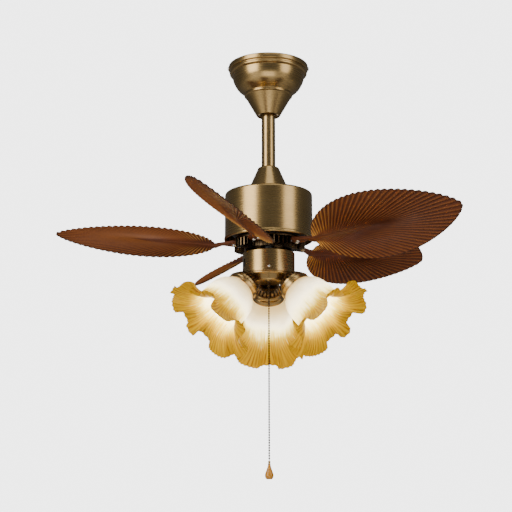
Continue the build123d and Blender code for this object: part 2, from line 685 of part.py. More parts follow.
def make_blade(angle, name):
    """One moulded palm-leaf blade: root plate, neck, midrib and scalloped leaf."""
    edge = leaf_edge()
    outline = [(0, 0)] + edge + [(LEAF_LENGTH, 0)] + [(x, -y) for x, y in reversed(edge)]
    leaf = leaf_plane(angle)
    root_z = FLY_TOP_Z - FLY_PLATE_T - ROOT_PLATE_T
    along = direction(angle, LEAF_RISE)
    rib_start = leaf.origin - along * (LEAF_BASE_R - ROOT_OUTER_R + RIB_OVERLAP)
    rib_plane = Plane(origin=rib_start, x_dir=leaf.z_dir, z_dir=along)
    rib_length = LEAF_BASE_R - ROOT_OUTER_R + RIB_OVERLAP + RIB_LENGTH_FRACTION * LEAF_LENGTH
    with BuildPart() as blade:
        with BuildSketch(leaf.offset(-LEAF_T / 2)):
            with BuildLine():
                for start, end in zip(outline, outline[1:] + outline[:1]):
                    chord = (end[0] - start[0], end[1] - start[1])
                    middle = ((start[0] + end[0]) / 2, (start[1] + end[1]) / 2)
                    crest = (middle[0] - SCALLOP * chord[1], middle[1] + SCALLOP * chord[0])
                    ThreePointArc(start, crest, end)
            make_face()
        extrude(amount=LEAF_T)
        with BuildSketch(rib_plane):
            Circle(NECK_R)
        with BuildSketch(rib_plane.offset(rib_length)):
            Circle(RIB_TIP_R)
        loft()
        with BuildSketch(root_plane(angle, root_z)):
            with BuildLine():
                Polyline(
                    (ROOT_INNER_R, -ROOT_WIDTH / 2),
                    (FLY_R, -ROOT_WIDTH / 2),
                    (ROOT_OUTER_R, -NECK_R),
                    (LEAF_BASE_R + 2.0, -NECK_R),
                    (LEAF_BASE_R + 2.0, NECK_R),
                    (ROOT_OUTER_R, NECK_R),
                    (FLY_R, ROOT_WIDTH / 2),
                    (ROOT_INNER_R, ROOT_WIDTH / 2),
                    close=True,
                )
            make_face()
            with Locations(*BLADE_SCREW_SPOTS):
                Circle(BLADE_SCREW_R + FIT_GAP, mode=Mode.SUBTRACT)
        extrude(amount=ROOT_PLATE_T)
    blade.part.label = name
    return blade.part


blade_parts = [make_blade(angle, f"blade_{i + 1}") for i, angle in enumerate(BLADE_ANGLES)]

with BuildPart() as blade_screws:
    for angle in BLADE_ANGLES:
        head_z = FLY_TOP_Z - FLY_PLATE_T - ROOT_PLATE_T - BLADE_SCREW_HEAD_H
        with BuildSketch(root_plane(angle, head_z)):
            with Locations(*BLADE_SCREW_SPOTS):
                Circle(BLADE_SCREW_HEAD_R)
        extrude(amount=BLADE_SCREW_HEAD_H)
        with BuildSketch(root_plane(angle, head_z + BLADE_SCREW_HEAD_H)):
            with Locations(*BLADE_SCREW_SPOTS):
                Circle(BLADE_SCREW_R)
        extrude(amount=ROOT_PLATE_T + FLY_PLATE_T)

# ============================================================================================
# Switch housing
# ============================================================================================
with BuildPart() as switch_carrier:
    with BuildSketch(Plane.XY.offset(SWITCH_TOP_Z - SWITCH_WALL - CARRIER_T)):
        Circle(CARRIER_R)
        Circle(SHAFT_R, mode=Mode.SUBTRACT)
        with PolarLocations(CARRIER_R - CARRIER_HOLE_INSET, 3, start_angle=CARRIER_HOLE_PHASE):
            Circle(SMALL_HEAD_R * 2, mode=Mode.SUBTRACT)
    extrude(amount=CARRIER_T)

with BuildPart() as shaft_nut:
    with BuildSketch(Plane.XY.offset(SWITCH_TOP_Z - SWITCH_WALL - CARRIER_T - SHAFT_NUT_H)):
        RegularPolygon(SHAFT_NUT_R, 6)
        Circle(SHAFT_R, mode=Mode.SUBTRACT)
    extrude(amount=SHAFT_NUT_H)

with BuildPart() as switch_housing:
    with BuildSketch(Plane.XY.offset(SWITCH_BOTTOM_Z)):
        Circle(SWITCH_R)
    extrude(amount=SWITCH_TOP_Z - SWITCH_BOTTOM_Z)
    fillet(switch_housing.edges().group_by(Axis.Z)[-1], radius=SWITCH_EDGE_R)
    with BuildSketch(Plane.XY.offset(SWITCH_BOTTOM_Z)):
        Circle(SWITCH_R - SWITCH_WALL)
    extrude(amount=SWITCH_TOP_Z - SWITCH_WALL - SWITCH_BOTTOM_Z, mode=Mode.SUBTRACT)
    with BuildSketch(Plane.XY.offset(SWITCH_TOP_Z - SWITCH_WALL)):
        Circle(SHAFT_R + FIT_GAP)
    extrude(amount=SWITCH_WALL, mode=Mode.SUBTRACT)
    # side screw holes
    for angle in SIDE_SCREW_ANGLES:
        with BuildSketch(radial_plane(angle, SWITCH_R - 2 * SWITCH_WALL, SIDE_SCREW_Z)):
            Circle(SMALL_SCREW_R + FIT_GAP)
        extrude(amount=4 * SWITCH_WALL, mode=Mode.SUBTRACT)
    # slot of the reversing switch
    with BuildSketch(radial_plane(REVERSE_ANGLE, SWITCH_R - 3 * SWITCH_WALL, REVERSE_Z)):
        Rectangle(REVERSE_SLOT_W, REVERSE_SLOT_H)
    extrude(amount=6 * SWITCH_WALL, mode=Mode.SUBTRACT)

with BuildPart() as switch_housing_screws:
    for angle in SIDE_SCREW_ANGLES:
        with BuildSketch(radial_plane(angle, SWITCH_R, SIDE_SCREW_Z)):
            Circle(SMALL_HEAD_R)
        extrude(amount=SMALL_HEAD_H)
        with BuildSketch(radial_plane(angle, SWITCH_R - SIDE_SCREW_LENGTH, SIDE_SCREW_Z)):
            Circle(SMALL_SCREW_R)
        extrude(amount=SIDE_SCREW_LENGTH)

with BuildPart() as reverse_switch_body:
    with BuildSketch(radial_plane(REVERSE_ANGLE, REVERSE_BODY_R - REVERSE_BODY_DEPTH, REVERSE_Z)):
        Rectangle(REVERSE_BODY_W, REVERSE_BODY_H)
    extrude(amount=REVERSE_BODY_DEPTH)
    # track of the slider
    with BuildSketch(radial_plane(REVERSE_ANGLE, REVERSE_BODY_R - REVERSE_TRACK_DEPTH, REVERSE_Z)):
        Rectangle(REVERSE_SLIDER_W + 2 * BODY_GAP, REVERSE_SLOT_H)
    extrude(amount=REVERSE_TRACK_DEPTH, mode=Mode.SUBTRACT)

with BuildPart() as reverse_switch_slider:
    slider_z = REVERSE_Z - REVERSE_TRAVEL / 2
    with BuildSketch(radial_plane(REVERSE_ANGLE, REVERSE_BODY_R - REVERSE_TRACK_DEPTH + BODY_GAP, slider_z)):
        Rectangle(REVERSE_SLIDER_W, REVERSE_SLIDER_H)
    extrude(amount=SWITCH_R - REVERSE_BODY_R + REVERSE_TRACK_DEPTH + REVERSE_NUB - BODY_GAP)

with BuildPart() as capacitor:
    with BuildSketch(Plane.XY.offset(CAPACITOR_Z)):
        with Locations((CAPACITOR_X, CAPACITOR_Y)):
            RectangleRounded(CAPACITOR_W, CAPACITOR_D, 2.0)
    extrude(amount=CAPACITOR_H)

# ============================================================================================
# Light kit
# ============================================================================================
with BuildPart() as fitter_bowl:
    with BuildSketch(Plane.XZ):
        with BuildLine():
            Polyline(
                (0, FITTER_BOTTOM_Z),
                (FITTER_BOTTOM_R - 1.0, FITTER_BOTTOM_Z),
                (FITTER_BOTTOM_R, FITTER_BOTTOM_Z + 1.0),
                (FITTER_TOP_R, FITTER_CONE_Z),
                (FITTER_RING_R, FITTER_CONE_Z + 1.0),
                (FITTER_RING_R, SWITCH_BOTTOM_Z),
                (SWITCH_R - SWITCH_WALL - FIT_GAP, SWITCH_BOTTOM_Z),
                (SWITCH_R - SWITCH_WALL - FIT_GAP, FITTER_SKIRT_Z),
                (SWITCH_R - 2 * SWITCH_WALL - FIT_GAP, FITTER_SKIRT_Z),
                (SWITCH_R - 2 * SWITCH_WALL - FIT_GAP, SWITCH_BOTTOM_Z),
                (FITTER_TOP_R - FITTER_T, FITTER_CONE_Z + FITTER_T),
                (FITTER_BOTTOM_R - FITTER_T, FITTER_BOTTOM_Z + 2 * FITTER_T),
                (FITTER_BOTTOM_R - 2 * FITTER_T, FITTER_BOTTOM_Z + FITTER_T),
                (0, FITTER_BOTTOM_Z + FITTER_T),
                close=True,
            )
        make_face()
    revolve(axis=Axis.Z)
    for angle in LAMP_ANGLES:
        with BuildSketch(lamp_cross_plane(angle, NIPPLE_BACK_S)):
            Circle(NIPPLE_R + FIT_GAP)
        extrude(amount=CAP_BACK_S - NIPPLE_BACK_S, mode=Mode.SUBTRACT)
    for angle in SIDE_SCREW_ANGLES:
        with BuildSketch(radial_plane(angle, SWITCH_R - SIDE_SCREW_LENGTH, SIDE_SCREW_Z)):
            Circle(SMALL_SCREW_R + FIT_GAP)
        extrude(amount=SIDE_SCREW_LENGTH, mode=Mode.SUBTRACT)
    with BuildSketch(Plane.XY.offset(FITTER_BOTTOM_Z)):
        with Locations((0, CHAIN_Y)):
            Circle(BUSHING_R + FIT_GAP)
    extrude(amount=FITTER_T, mode=Mode.SUBTRACT)

with BuildPart() as lamp_nipples:
    for angle in LAMP_ANGLES:
        with BuildSketch(lamp_cross_plane(angle, NIPPLE_BACK_S)):
            Circle(NIPPLE_R)
        extrude(amount=CAP_BACK_S + CAP_T - NIPPLE_BACK_S)


def make_lamp_cap(angle, name):
    """Fluted closed cap behind a lamp socket."""
    axis = lamp_axis(angle)
    with BuildPart() as cap:
        with BuildSketch(lamp_profile_plane(angle)):
            with BuildLine():
                Polyline(
                    (0, CAP_BACK_S),
                    (CAP_BACK_R, CAP_BACK_S),
                    (CAP_SHOULDER_R, CAP_SHOULDER_S),
                    (CAP_FRONT_R, CAP_FRONT_S),
                    (0, CAP_FRONT_S),
                    close=True,
                )
            make_face()
        revolve(axis=axis)
        # flutes along the sloping side
        for i in range(FLUTES):
            turn = math.radians(360.0 / FLUTES * i)
            front = lamp_cross_plane(angle, CAP_FRONT_S)
            out = front.x_dir * math.cos(turn) + front.y_dir * math.sin(turn)
            slope = out * (CAP_FRONT_R - CAP_SHOULDER_R) + axis.direction * (CAP_FRONT_S - CAP_SHOULDER_S)
            start = front.origin + out * (CAP_FRONT_R + FLUTE_R / 2)
            with BuildSketch(Plane(origin=start, x_dir=out.cross(slope), z_dir=slope)):
                Circle(FLUTE_R)
            extrude(amount=FLUTE_LENGTH, both=True, mode=Mode.SUBTRACT)
        # room for the socket, and the hole for its nipple
        with BuildSketch(lamp_cross_plane(angle, CAP_BACK_S + CAP_T)):
            Circle(SOCKET_R + FIT_GAP)
        extrude(amount=CAP_FRONT_S - CAP_BACK_S - CAP_T, mode=Mode.SUBTRACT)
        with BuildSketch(lamp_cross_plane(angle, CAP_BACK_S)):
            Circle(NIPPLE_R + FIT_GAP)
        extrude(amount=CAP_T, mode=Mode.SUBTRACT)
    cap.part.label = name
    return cap.part


def make_shade_holder(angle, name):
    """Flared collar that carries the shade by three thumb screws."""
    with BuildPart() as holder:
        with BuildSketch(lamp_profile_plane(angle)):
            with BuildLine():
                Polyline(
                    (SOCKET_R + FIT_GAP, CAP_FRONT_S),
                    (HOLDER_NECK_R, CAP_FRONT_S),
                    (HOLDER_NECK_R, HOLDER_STEP_S - HOLDER_T),
                    (HOLDER_R, HOLDER_STEP_S),
                    (HOLDER_R, 0),
                    (HOLDER_R - HOLDER_T, 0),
                    (HOLDER_R - HOLDER_T, HOLDER_STEP_S + HOLDER_T),
                    (HOLDER_NECK_R - HOLDER_T, HOLDER_STEP_S),
                    (HOLDER_NECK_R - HOLDER_T, CAP_FRONT_S + HOLDER_T),
                    (SOCKET_R + FIT_GAP, CAP_FRONT_S + HOLDER_T),
                    close=True,
                )
            make_face()
        revolve(axis=lamp_axis(angle))
        for plane in thumb_screw_planes(angle, HOLDER_R - 3 * HOLDER_T):
            with BuildSketch(plane):
                Circle(THUMB_SCREW_R + FIT_GAP)
            extrude(amount=4 * HOLDER_T, mode=Mode.SUBTRACT)
    holder.part.label = name
    return holder.part


def thumb_screw_planes(angle, radius):
    """Planes facing outwards around a lamp axis, one for each thumb screw."""
    mouth = lamp_cross_plane(angle, THUMB_SCREW_S)
    planes = []
    for i in range(THUMB_SCREW_COUNT):
        turn = math.radians(THUMB_SCREW_PHASE + 360.0 / THUMB_SCREW_COUNT * i)
        out = mouth.x_dir * math.cos(turn) + mouth.y_dir * math.sin(turn)
        planes.append(Plane(origin=mouth.origin + out * radius, x_dir=mouth.z_dir, z_dir=out))
    return planes


def make_socket(angle, name):
    """Lamp socket: an open sleeve with a closed back."""
    with BuildPart() as socket:
        with BuildSketch(lamp_cross_plane(angle, CAP_BACK_S + CAP_T)):
            Circle(SOCKET_R)
        extrude(amount=SOCKET_FRONT_S - CAP_BACK_S - CAP_T)
        with BuildSketch(lamp_cross_plane(angle, BULB_BASE_S)):
            Circle(BULB_BASE_R + FIT_GAP)
        extrude(amount=SOCKET_FRONT_S - BULB_BASE_S, mode=Mode.SUBTRACT)
    socket.part.label = name
    return socket.part


def make_bulb(angle, name):
    """Round lamp with a screw base."""
    with BuildPart() as bulb:
        with BuildSketch(lamp_profile_plane(angle)):
            with BuildLine():
                Polyline(
                    (0, BULB_TIP_S),
                    (0, BULB_BASE_S),
                    (BULB_CONTACT_R, BULB_BASE_S),
                    (BULB_BASE_R, BULB_BASE_S + BULB_BASE_R - BULB_CONTACT_R),
                    (BULB_BASE_R, SOCKET_FRONT_S + 2.0),
                )
                Spline(
                    (BULB_BASE_R, SOCKET_FRONT_S + 2.0),
                    (BULB_R, BULB_TIP_S - BULB_R),
                    (0, BULB_TIP_S),
                    tangents=((0.4, 1.0), (-1.0, 0)),
                )
            make_face()
        revolve(axis=lamp_axis(angle))
    bulb.part.label = name
    return bulb.part


def make_shade(angle, name):
    """Bell-shaped glass shade with a waved rim."""
    inner = [(r - SHADE_T, s) for r, s in reversed(SHADE_PROFILE[:-1])]
    with BuildPart() as shade:
        with BuildSketch(lamp_profile_plane(angle)):
            with BuildLine():
                Line((SHADE_NECK_R, SHADE_NECK_S), SHADE_PROFILE[0])
                Spline(*SHADE_PROFILE)
                Line(SHADE_PROFILE[-1], (SHADE_RIM_R - SHADE_T, SHADE_LENGTH + SHADE_T / 2))
                Spline((SHADE_RIM_R - SHADE_T, SHADE_LENGTH + SHADE_T / 2), *inner)
                Polyline(
                    inner[-1],
                    (SHADE_NECK_R - SHADE_T, SHADE_NECK_S),
                    (SHADE_NECK_R, SHADE_NECK_S),
                )
            make_face()
        revolve(axis=lamp_axis(angle))
        # hollows of the waved rim
        rim = lamp_cross_plane(angle, SHADE_LENGTH + WAVE_RADIUS - WAVE_DEPTH)
        for i in range(SHADE_WAVES):
            turn = math.radians(360.0 / SHADE_WAVES * i)
            out = rim.x_dir * math.cos(turn) + rim.y_dir * math.sin(turn)
            with BuildSketch(Plane(origin=rim.origin + out * SHADE_RIM_R / 2, x_dir=rim.z_dir, z_dir=out)):
                Circle(WAVE_RADIUS)
            extrude(amount=SHADE_RIM_R, mode=Mode.SUBTRACT)
    shade.part.label = name
    return shade.part


cap_parts = [make_lamp_cap(angle, f"lamp_cap_{i + 1}") for i, angle in enumerate(LAMP_ANGLES)]
holder_parts = [make_shade_holder(angle, f"shade_holder_{i + 1}") for i, angle in enumerate(LAMP_ANGLES)]
socket_parts = [make_socket(angle, f"socket_{i + 1}") for i, angle in enumerate(LAMP_ANGLES)]
bulb_parts = [make_bulb(angle, f"bulb_{i + 1}") for i, angle in enumerate(LAMP_ANGLES)]
shade_parts = [make_shade(angle, f"shade_{i + 1}") for i, angle in enumerate(LAMP_ANGLES)]

with BuildPart() as thumb_screws:
    for angle in LAMP_ANGLES:
        for plane in thumb_screw_planes(angle, SHADE_NECK_R + BODY_GAP):
            with BuildSketch(plane):
                Circle(THUMB_SCREW_R)
            extrude(amount=HOLDER_R - SHADE_NECK_R - BODY_GAP + 1.0)
        for plane in thumb_screw_planes(angle, HOLDER_R + 1.0):
            with BuildSketch(plane):
                Circle(THUMB_HEAD_R)
            extrude(amount=THUMB_HEAD_H)

# ============================================================================================
# Pull chain
# ============================================================================================
with BuildPart() as pull_switch:
    with BuildSketch(Plane.XY.offset(CHAIN_TOP_Z)):
        with Locations((0, CHAIN_Y)):
            RectangleRounded(PULL_SWITCH_W, PULL_SWITCH_D, 1.5)
    extrude(amount=PULL_SWITCH_H)

with BuildPart() as chain_bushing:
    with BuildSketch(Plane.XY.offset(FITTER_BOTTOM_Z - BUSHING_FLANGE_T)):
        with Locations((0, CHAIN_Y)):
            Circle(BUSHING_R + 1.5)
    extrude(amount=BUSHING_FLANGE_T)
    with BuildSketch(Plane.XY.offset(FITTER_BOTTOM_Z)):
        with Locations((0, CHAIN_Y)):
            Circle(BUSHING_R)
    extrude(amount=2 * FITTER_T)
    with BuildSketch(Plane.XY.offset(FITTER_BOTTOM_Z - BUSHING_FLANGE_T)):
        with Locations((0, CHAIN_Y)):
            Circle(CHAIN_R + BODY_GAP)
    extrude(amount=BUSHING_FLANGE_T + 2 * FITTER_T, mode=Mode.SUBTRACT)

with BuildPart() as pull_chain:
    with BuildSketch(Plane.XY.offset(CHAIN_BOTTOM_Z)):
        with Locations((0, CHAIN_Y)):
            Circle(CHAIN_R)
    extrude(amount=CHAIN_TOP_Z - CHAIN_BOTTOM_Z)

with BuildPart() as chain_connector:
    with BuildSketch(Plane.XY.offset(KNOB_TOP_Z)):
        with Locations((0, CHAIN_Y)):
            Circle(CONNECTOR_R)
    extrude(amount=CHAIN_BOTTOM_Z - KNOB_TOP_Z)
    chamfer(chain_connector.edges().filter_by(GeomType.CIRCLE), length=CONNECTOR_R / 4)

with BuildPart() as pull_knob:
    with BuildSketch(Plane(origin=(0, CHAIN_Y, 0), x_dir=(1, 0, 0), z_dir=(0, -1, 0))):
        with BuildLine():
            Polyline((0, KNOB_BOTTOM_Z), (0, KNOB_TOP_Z), KNOB_PROFILE[0])
            Spline(*KNOB_PROFILE, tangents=((0.1, -1.0), (-1.0, -0.9)))
            Polyline(KNOB_PROFILE[-1], (KNOB_END_R, KNOB_BOTTOM_Z), (0, KNOB_BOTTOM_Z))
        make_face()
    revolve(axis=Axis((0, CHAIN_Y, 0), (0, 0, 1)))

# ============================================================================================
# Labels and files
# ============================================================================================
single_parts = {
    "hanger_bracket": hanger_bracket,
    "canopy": canopy,
    "canopy_ring": canopy_ring,
    "canopy_ring_screws": canopy_ring_screws,
    "canopy_side_screws": canopy_side_screws,
    "hanger_ball": hanger_ball,
    "downrod": downrod,
    "cross_pins": cross_pins,
    "yoke": yoke,
    "yoke_screws": yoke_screws,
    "yoke_cover": yoke_cover,
    "motor_housing": motor_housing,
    "motor_shaft": motor_shaft,
    "stator_core": stator_core,
    "stator_windings": stator_windings,
    "bearing_upper": bearing_upper,
    "bearing_lower": bearing_lower,
    "rotor_upper_shell": rotor_upper_shell,
    "rotor_lower_shell": rotor_lower_shell,
    "rotor_cage": rotor_cage,
    "flywheel": flywheel,
    "blade_screws": blade_screws,
    "switch_carrier": switch_carrier,
    "shaft_nut": shaft_nut,
    "switch_housing": switch_housing,
    "switch_housing_screws": switch_housing_screws,
    "reverse_switch_body": reverse_switch_body,
    "reverse_switch_slider": reverse_switch_slider,
    "capacitor": capacitor,
    "fitter_bowl": fitter_bowl,
    "lamp_nipples": lamp_nipples,
    "thumb_screws": thumb_screws,
    "pull_switch": pull_switch,
    "chain_bushing": chain_bushing,
    "pull_chain": pull_chain,
    "chain_connector": chain_connector,
    "pull_knob": pull_knob,
}

for name, builder in single_parts.items():
    builder.part.label = name
    export_step(builder.part, f"parts/{name}.step")

for part in blade_parts + cap_parts + holder_parts + socket_parts + bulb_parts + shade_parts:
    export_step(part, f"parts/{part.label}.step")
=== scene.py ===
import json
import math

import bpy
import numpy as np
from mathutils import Matrix, Vector


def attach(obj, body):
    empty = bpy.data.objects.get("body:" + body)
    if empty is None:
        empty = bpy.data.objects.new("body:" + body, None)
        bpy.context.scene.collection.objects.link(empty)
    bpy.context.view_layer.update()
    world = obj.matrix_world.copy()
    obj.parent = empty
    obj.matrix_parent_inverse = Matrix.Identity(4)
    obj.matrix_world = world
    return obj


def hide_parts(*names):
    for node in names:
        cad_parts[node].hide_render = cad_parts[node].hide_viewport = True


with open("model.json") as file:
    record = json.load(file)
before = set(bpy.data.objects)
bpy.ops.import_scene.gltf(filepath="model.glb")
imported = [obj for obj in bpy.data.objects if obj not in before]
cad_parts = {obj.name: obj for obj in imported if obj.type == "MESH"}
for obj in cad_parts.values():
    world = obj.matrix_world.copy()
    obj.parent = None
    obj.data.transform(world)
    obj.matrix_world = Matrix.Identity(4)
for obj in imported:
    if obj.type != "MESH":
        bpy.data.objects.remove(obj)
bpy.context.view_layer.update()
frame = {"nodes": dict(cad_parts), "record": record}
MM = 0.001


# ------------------------------------------------------------------------------------------
# Node helpers
# ------------------------------------------------------------------------------------------
class Nodes:
    """A material's node tree, with short calls for the nodes used here."""

    def __init__(self, name):
        self.material = bpy.data.materials.new(name)
        self.material.use_nodes = True
        self.tree = self.material.node_tree
        self.tree.nodes.clear()
        self.out = self.tree.nodes.new("ShaderNodeOutputMaterial")

    def link(self, a, b):
        self.tree.links.new(a, b)

    def add(self, kind, **inputs):
        node = self.tree.nodes.new(kind)
        for key, value in inputs.items():
            socket = node.inputs[key.replace("_", " ")]
            if isinstance(value, bpy.types.NodeSocket):
                self.link(value, socket)
            else:
                socket.default_value = value
        return node

    def coords(self, scale=(1, 1, 1), source="Object"):
        texture = self.add("ShaderNodeTexCoord")
        mapping = self.add("ShaderNodeMapping", Vector=texture.outputs[source], Scale=scale)
        return mapping.outputs["Vector"]

    def attribute(self, name):
        node = self.tree.nodes.new("ShaderNodeAttribute")
        node.attribute_name = name
        return node.outputs["Fac"]

    def noise(self, vector, scale, detail=3.0, roughness=0.55):
        node = self.add("ShaderNodeTexNoise", Vector=vector, Scale=scale, Detail=detail, Roughness=roughness)
        return node.outputs["Fac"]

    def ramp(self, value, *stops):
        node = self.add("ShaderNodeValToRGB", Fac=value)
        elements = node.color_ramp.elements
        while len(elements) < len(stops):
            elements.new(0.5)
        for element, (position, colour) in zip(elements, stops):
            element.position = position
            element.color = (*colour, 1.0)
        return node.outputs["Color"]

    def remap(self, value, low, high, source=(0.0, 1.0)):
        node = self.add("ShaderNodeMapRange", Value=value)
        node.inputs["From Min"].default_value = source[0]
        node.inputs["From Max"].default_value = source[1]
        node.inputs["To Min"].default_value = low
        node.inputs["To Max"].default_value = high
        return node.outputs["Result"]

    def mix(self, factor, a, b, blend="MIX"):
        node = self.tree.nodes.new("ShaderNodeMix")
        node.data_type = "RGBA"
        node.blend_type = blend
        for socket, value in ((node.inputs["Factor"], factor), (node.inputs[6], a), (node.inputs[7], b)):
            if isinstance(value, bpy.types.NodeSocket):
                self.link(value, socket)
            else:
                socket.default_value = value if isinstance(value, float) else (*value, 1.0)
        return node.outputs[2]

    def math(self, operation, a, b=0.0):
        node = self.tree.nodes.new("ShaderNodeMath")
        node.operation = operation
        for socket, value in zip(node.inputs, (a, b)):
            if isinstance(value, bpy.types.NodeSocket):
                self.link(value, socket)
            else:
                socket.default_value = value
        return node.outputs[0]

    def bump(self, height, strength, distance=0.001):
        node = self.add("ShaderNodeBump", Height=height, Strength=strength, Distance=distance)
        return node.outputs["Normal"]

    def principled(self, **inputs):
        shader = self.add("ShaderNodeBsdfPrincipled", **inputs)
        self.link(shader.outputs[0], self.out.inputs["Surface"])
        return shader


def metal(name, light, dark, rough, brushed=(5, 5, 2600), bump=0.008):
    """Brushed metal whose grain runs round a vertical axis, with patchy patina."""
    n = Nodes(name)
    grain = n.noise(n.coords(brushed), 1.0, 4.0)
    patina = n.noise(n.coords(), 22.0, 5.0, 0.6)
    speckle = n.noise(n.coords(), 900.0, 2.0)
    colour = n.mix(n.remap(patina, 0.3, 0.7, (0.3, 0.7)), light, dark)
    colour = n.mix(n.remap(grain, 0.0, 0.08, (0.45, 0.7)), colour, tuple(0.55 * c for c in dark))
    roughness = n.math("ADD", n.remap(grain, rough - 0.06, rough + 0.06), n.remap(speckle, -0.02, 0.02))
    n.principled(
        Base_Color=colour,
        Metallic=1.0,
        Roughness=roughness,
        Normal=n.bump(grain, bump, 0.0004),
    )
    return n.material


def moulded(name, light, dark, rough, coat=0.0, scale=60.0):
    """Moulded plastic or ceramic with a fine texture."""
    n = Nodes(name)
    cloud = n.noise(n.coords(), scale, 4.0)
    fine = n.noise(n.coords(), scale * 18, 2.0)
    n.principled(
        Base_Color=n.mix(cloud, light, dark),
        Roughness=n.remap(fine, rough - 0.05, rough + 0.05),
        Coat_Weight=coat,
        Coat_Roughness=0.12,
        Normal=n.bump(fine, 0.12, 0.0003),
    )
    return n.material


def leaf_material():
    """Wood-brown moulding, streaked along the pleats, with painted shade in the pleat valleys, painted
    highlights on the crests and painted gold glints on the crests near the base.
    """
    n = Nodes("leaf_plastic")
    along = n.attribute("leaf_u")
    across = n.attribute("leaf_t")
    crest = n.attribute("leaf_crest")
    strands = n.add("ShaderNodeCombineXYZ", X=along, Y=n.math("MULTIPLY", across, 90.0), Z=0.0).outputs[0]
    streak = n.noise(strands, 3.0, 5.0, 0.65)
    cloud = n.noise(n.coords(), 9.0, 3.0)
    base = n.mix(n.remap(streak, 0.0, 1.0, (0.3, 0.7)), (0.045, 0.010, 0.003), (0.155, 0.036, 0.007))
    base = n.mix(n.remap(cloud, 0.0, 0.5, (0.35, 0.7)), base, (0.19, 0.050, 0.010))
    # painted shade: darker in the pleat valleys
    base = n.mix(n.remap(crest, 0.55, 0.0, (0.0, 0.45)), base, (0.035, 0.009, 0.003))
    # painted highlight: lighter on the pleat crests
    base = n.mix(n.remap(crest, 0.0, 0.55, (0.55, 1.0)), base, (0.32, 0.105, 0.018))
    # painted glints: gold on the pleat crests near the leaf base
    near_base = n.remap(n.math("MODULO", across, 3.0), 0.55, 0.0, (0.06, 0.38))
    painted_glint = n.math("MULTIPLY", n.remap(crest, 0.0, 0.85, (0.50, 0.95)), near_base)
    base = n.mix(painted_glint, base, (0.90, 0.50, 0.12))
    edge = n.remap(along, 0.0, 0.75, (0.965, 1.0))
    base = n.mix(edge, base, (0.020, 0.008, 0.004))
    n.principled(
        Base_Color=base,
        Roughness=n.remap(streak, 0.48, 0.62),
        Coat_Weight=0.05,
        Coat_Roughness=0.25,
        Specular_IOR_Level=0.22,
        Normal=n.bump(streak, 0.25, 0.0006),
    )
    return n.material


RIBS = 84  # fine flutes moulded round each glass shade


def shade_material():
    """Frosted glass: cream at the neck, amber ruffle with painted streaks, painted shade in the flute
    grooves, and a painted bulb glow as emission, white in the middle of the bell.
    """
    n = Nodes("frosted_glass")
    s = n.attribute("shade_s")
    turn = n.attribute("shade_turn")
    round_the_bell = n.math("MULTIPLY", turn, 120.0)
    down_the_bell = n.math("MULTIPLY", s, 2.2)
    fibre = n.add("ShaderNodeCombineXYZ", X=round_the_bell, Y=down_the_bell, Z=0.0).outputs[0]
    streak = n.noise(fibre, 1.4, 4.0, 0.62)
    blotch = n.noise(n.coords(), 24.0, 3.0)
    fan = n.math("MULTIPLY", n.remap(streak, -0.2, 0.2, (0.3, 0.7)), n.remap(s, 0.0, 1.0, (0.35, 0.70)))
    level = n.math("ADD", s, fan)
    level = n.math("ADD", level, n.remap(blotch, -0.05, 0.05, (0.3, 0.7)))
    tint = n.ramp(
        level,
        (0.0, (0.88, 0.74, 0.42)),
        (0.16, (0.94, 0.84, 0.58)),
        (0.38, (0.98, 0.93, 0.78)),
        (0.50, (0.98, 0.91, 0.56)),
        (0.61, (0.90, 0.72, 0.07)),
        (0.71, (0.80, 0.54, 0.0)),
        (1.0, (0.72, 0.44, 0.0)),
    )
    flute = n.math("SINE", n.math("MULTIPLY", turn, 2 * math.pi * RIBS))
    # painted shade: deeper amber in the flute grooves
    groove_shade = n.remap(flute, 0.55, 0.0, (-0.9, 0.3))
    # painted: paint streaks on the glass plus the painted shade in the flute grooves
    painted = n.math("ADD", n.remap(streak, 0.75, 0.0, (0.38, 0.54)), groove_shade)
    painted = n.math("MULTIPLY", painted, n.remap(s, 0.0, 0.85, (0.56, 0.76)))
    colour = n.mix(painted, tint, (0.44, 0.19, 0.0))
    # painted bulb glow: emission along the bell, brightest in its middle where the bulb sits
    glow = n.ramp(
        level,
        (0.0, (0.10, 0.10, 0.10)),
        (0.16, (0.16, 0.16, 0.16)),
        (0.30, (0.42, 0.42, 0.42)),
        (0.44, (1.0, 1.0, 1.0)),
        (0.54, (0.60, 0.60, 0.60)),
        (0.63, (0.24, 0.24, 0.24)),
        (0.74, (0.13, 0.13, 0.13)),
        (1.0, (0.11, 0.11, 0.11)),
    )
    shader = n.principled(
        Base_Color=colour,
        Roughness=n.remap(blotch, 0.26, 0.40),
        Coat_Weight=0.04,
        Coat_Roughness=0.1,
        Specular_IOR_Level=0.15,
        Emission_Color=colour,
        Normal=n.bump(fan, 0.5, 0.0012),
    )
    # the painted bulb glow sets the emission strength
    n.link(n.math("MULTIPLY", glow, 3.3), shader.inputs["Emission Strength"])
    translucent = n.add("ShaderNodeBsdfTranslucent", Color=colour)
    blend = n.add("ShaderNodeMixShader", Fac=0.35)
    n.link(shader.outputs[0], blend.inputs[1])
    n.link(translucent.outputs[0], blend.inputs[2])
    n.link(blend.outputs[0], n.out.inputs["Surface"])
    return n.material


def bulb_material():
    n = Nodes("bulb_glass")
    cloud = n.noise(n.coords(), 60.0, 2.0)
    n.principled(
        Base_Color=n.mix(cloud, (1.0, 0.93, 0.78), (1.0, 0.97, 0.9)),
        Roughness=n.remap(cloud, 0.2, 0.3),
        Emission_Color=(1.0, 0.86, 0.62, 1.0),
        Emission_Strength=3.5,
    )
    return n.material


def amber_material():
    n = Nodes("amber_resin")
    swirl = n.noise(n.coords((1, 1, 0.4)), 240.0, 4.0)
    n.principled(
        Base_Color=n.mix(swirl, (0.62, 0.26, 0.0), (0.40, 0.14, 0.0)),
        Roughness=n.remap(swirl, 0.24, 0.32),
        Coat_Weight=0.2,
        Coat_Roughness=0.08,
    )
    return n.material


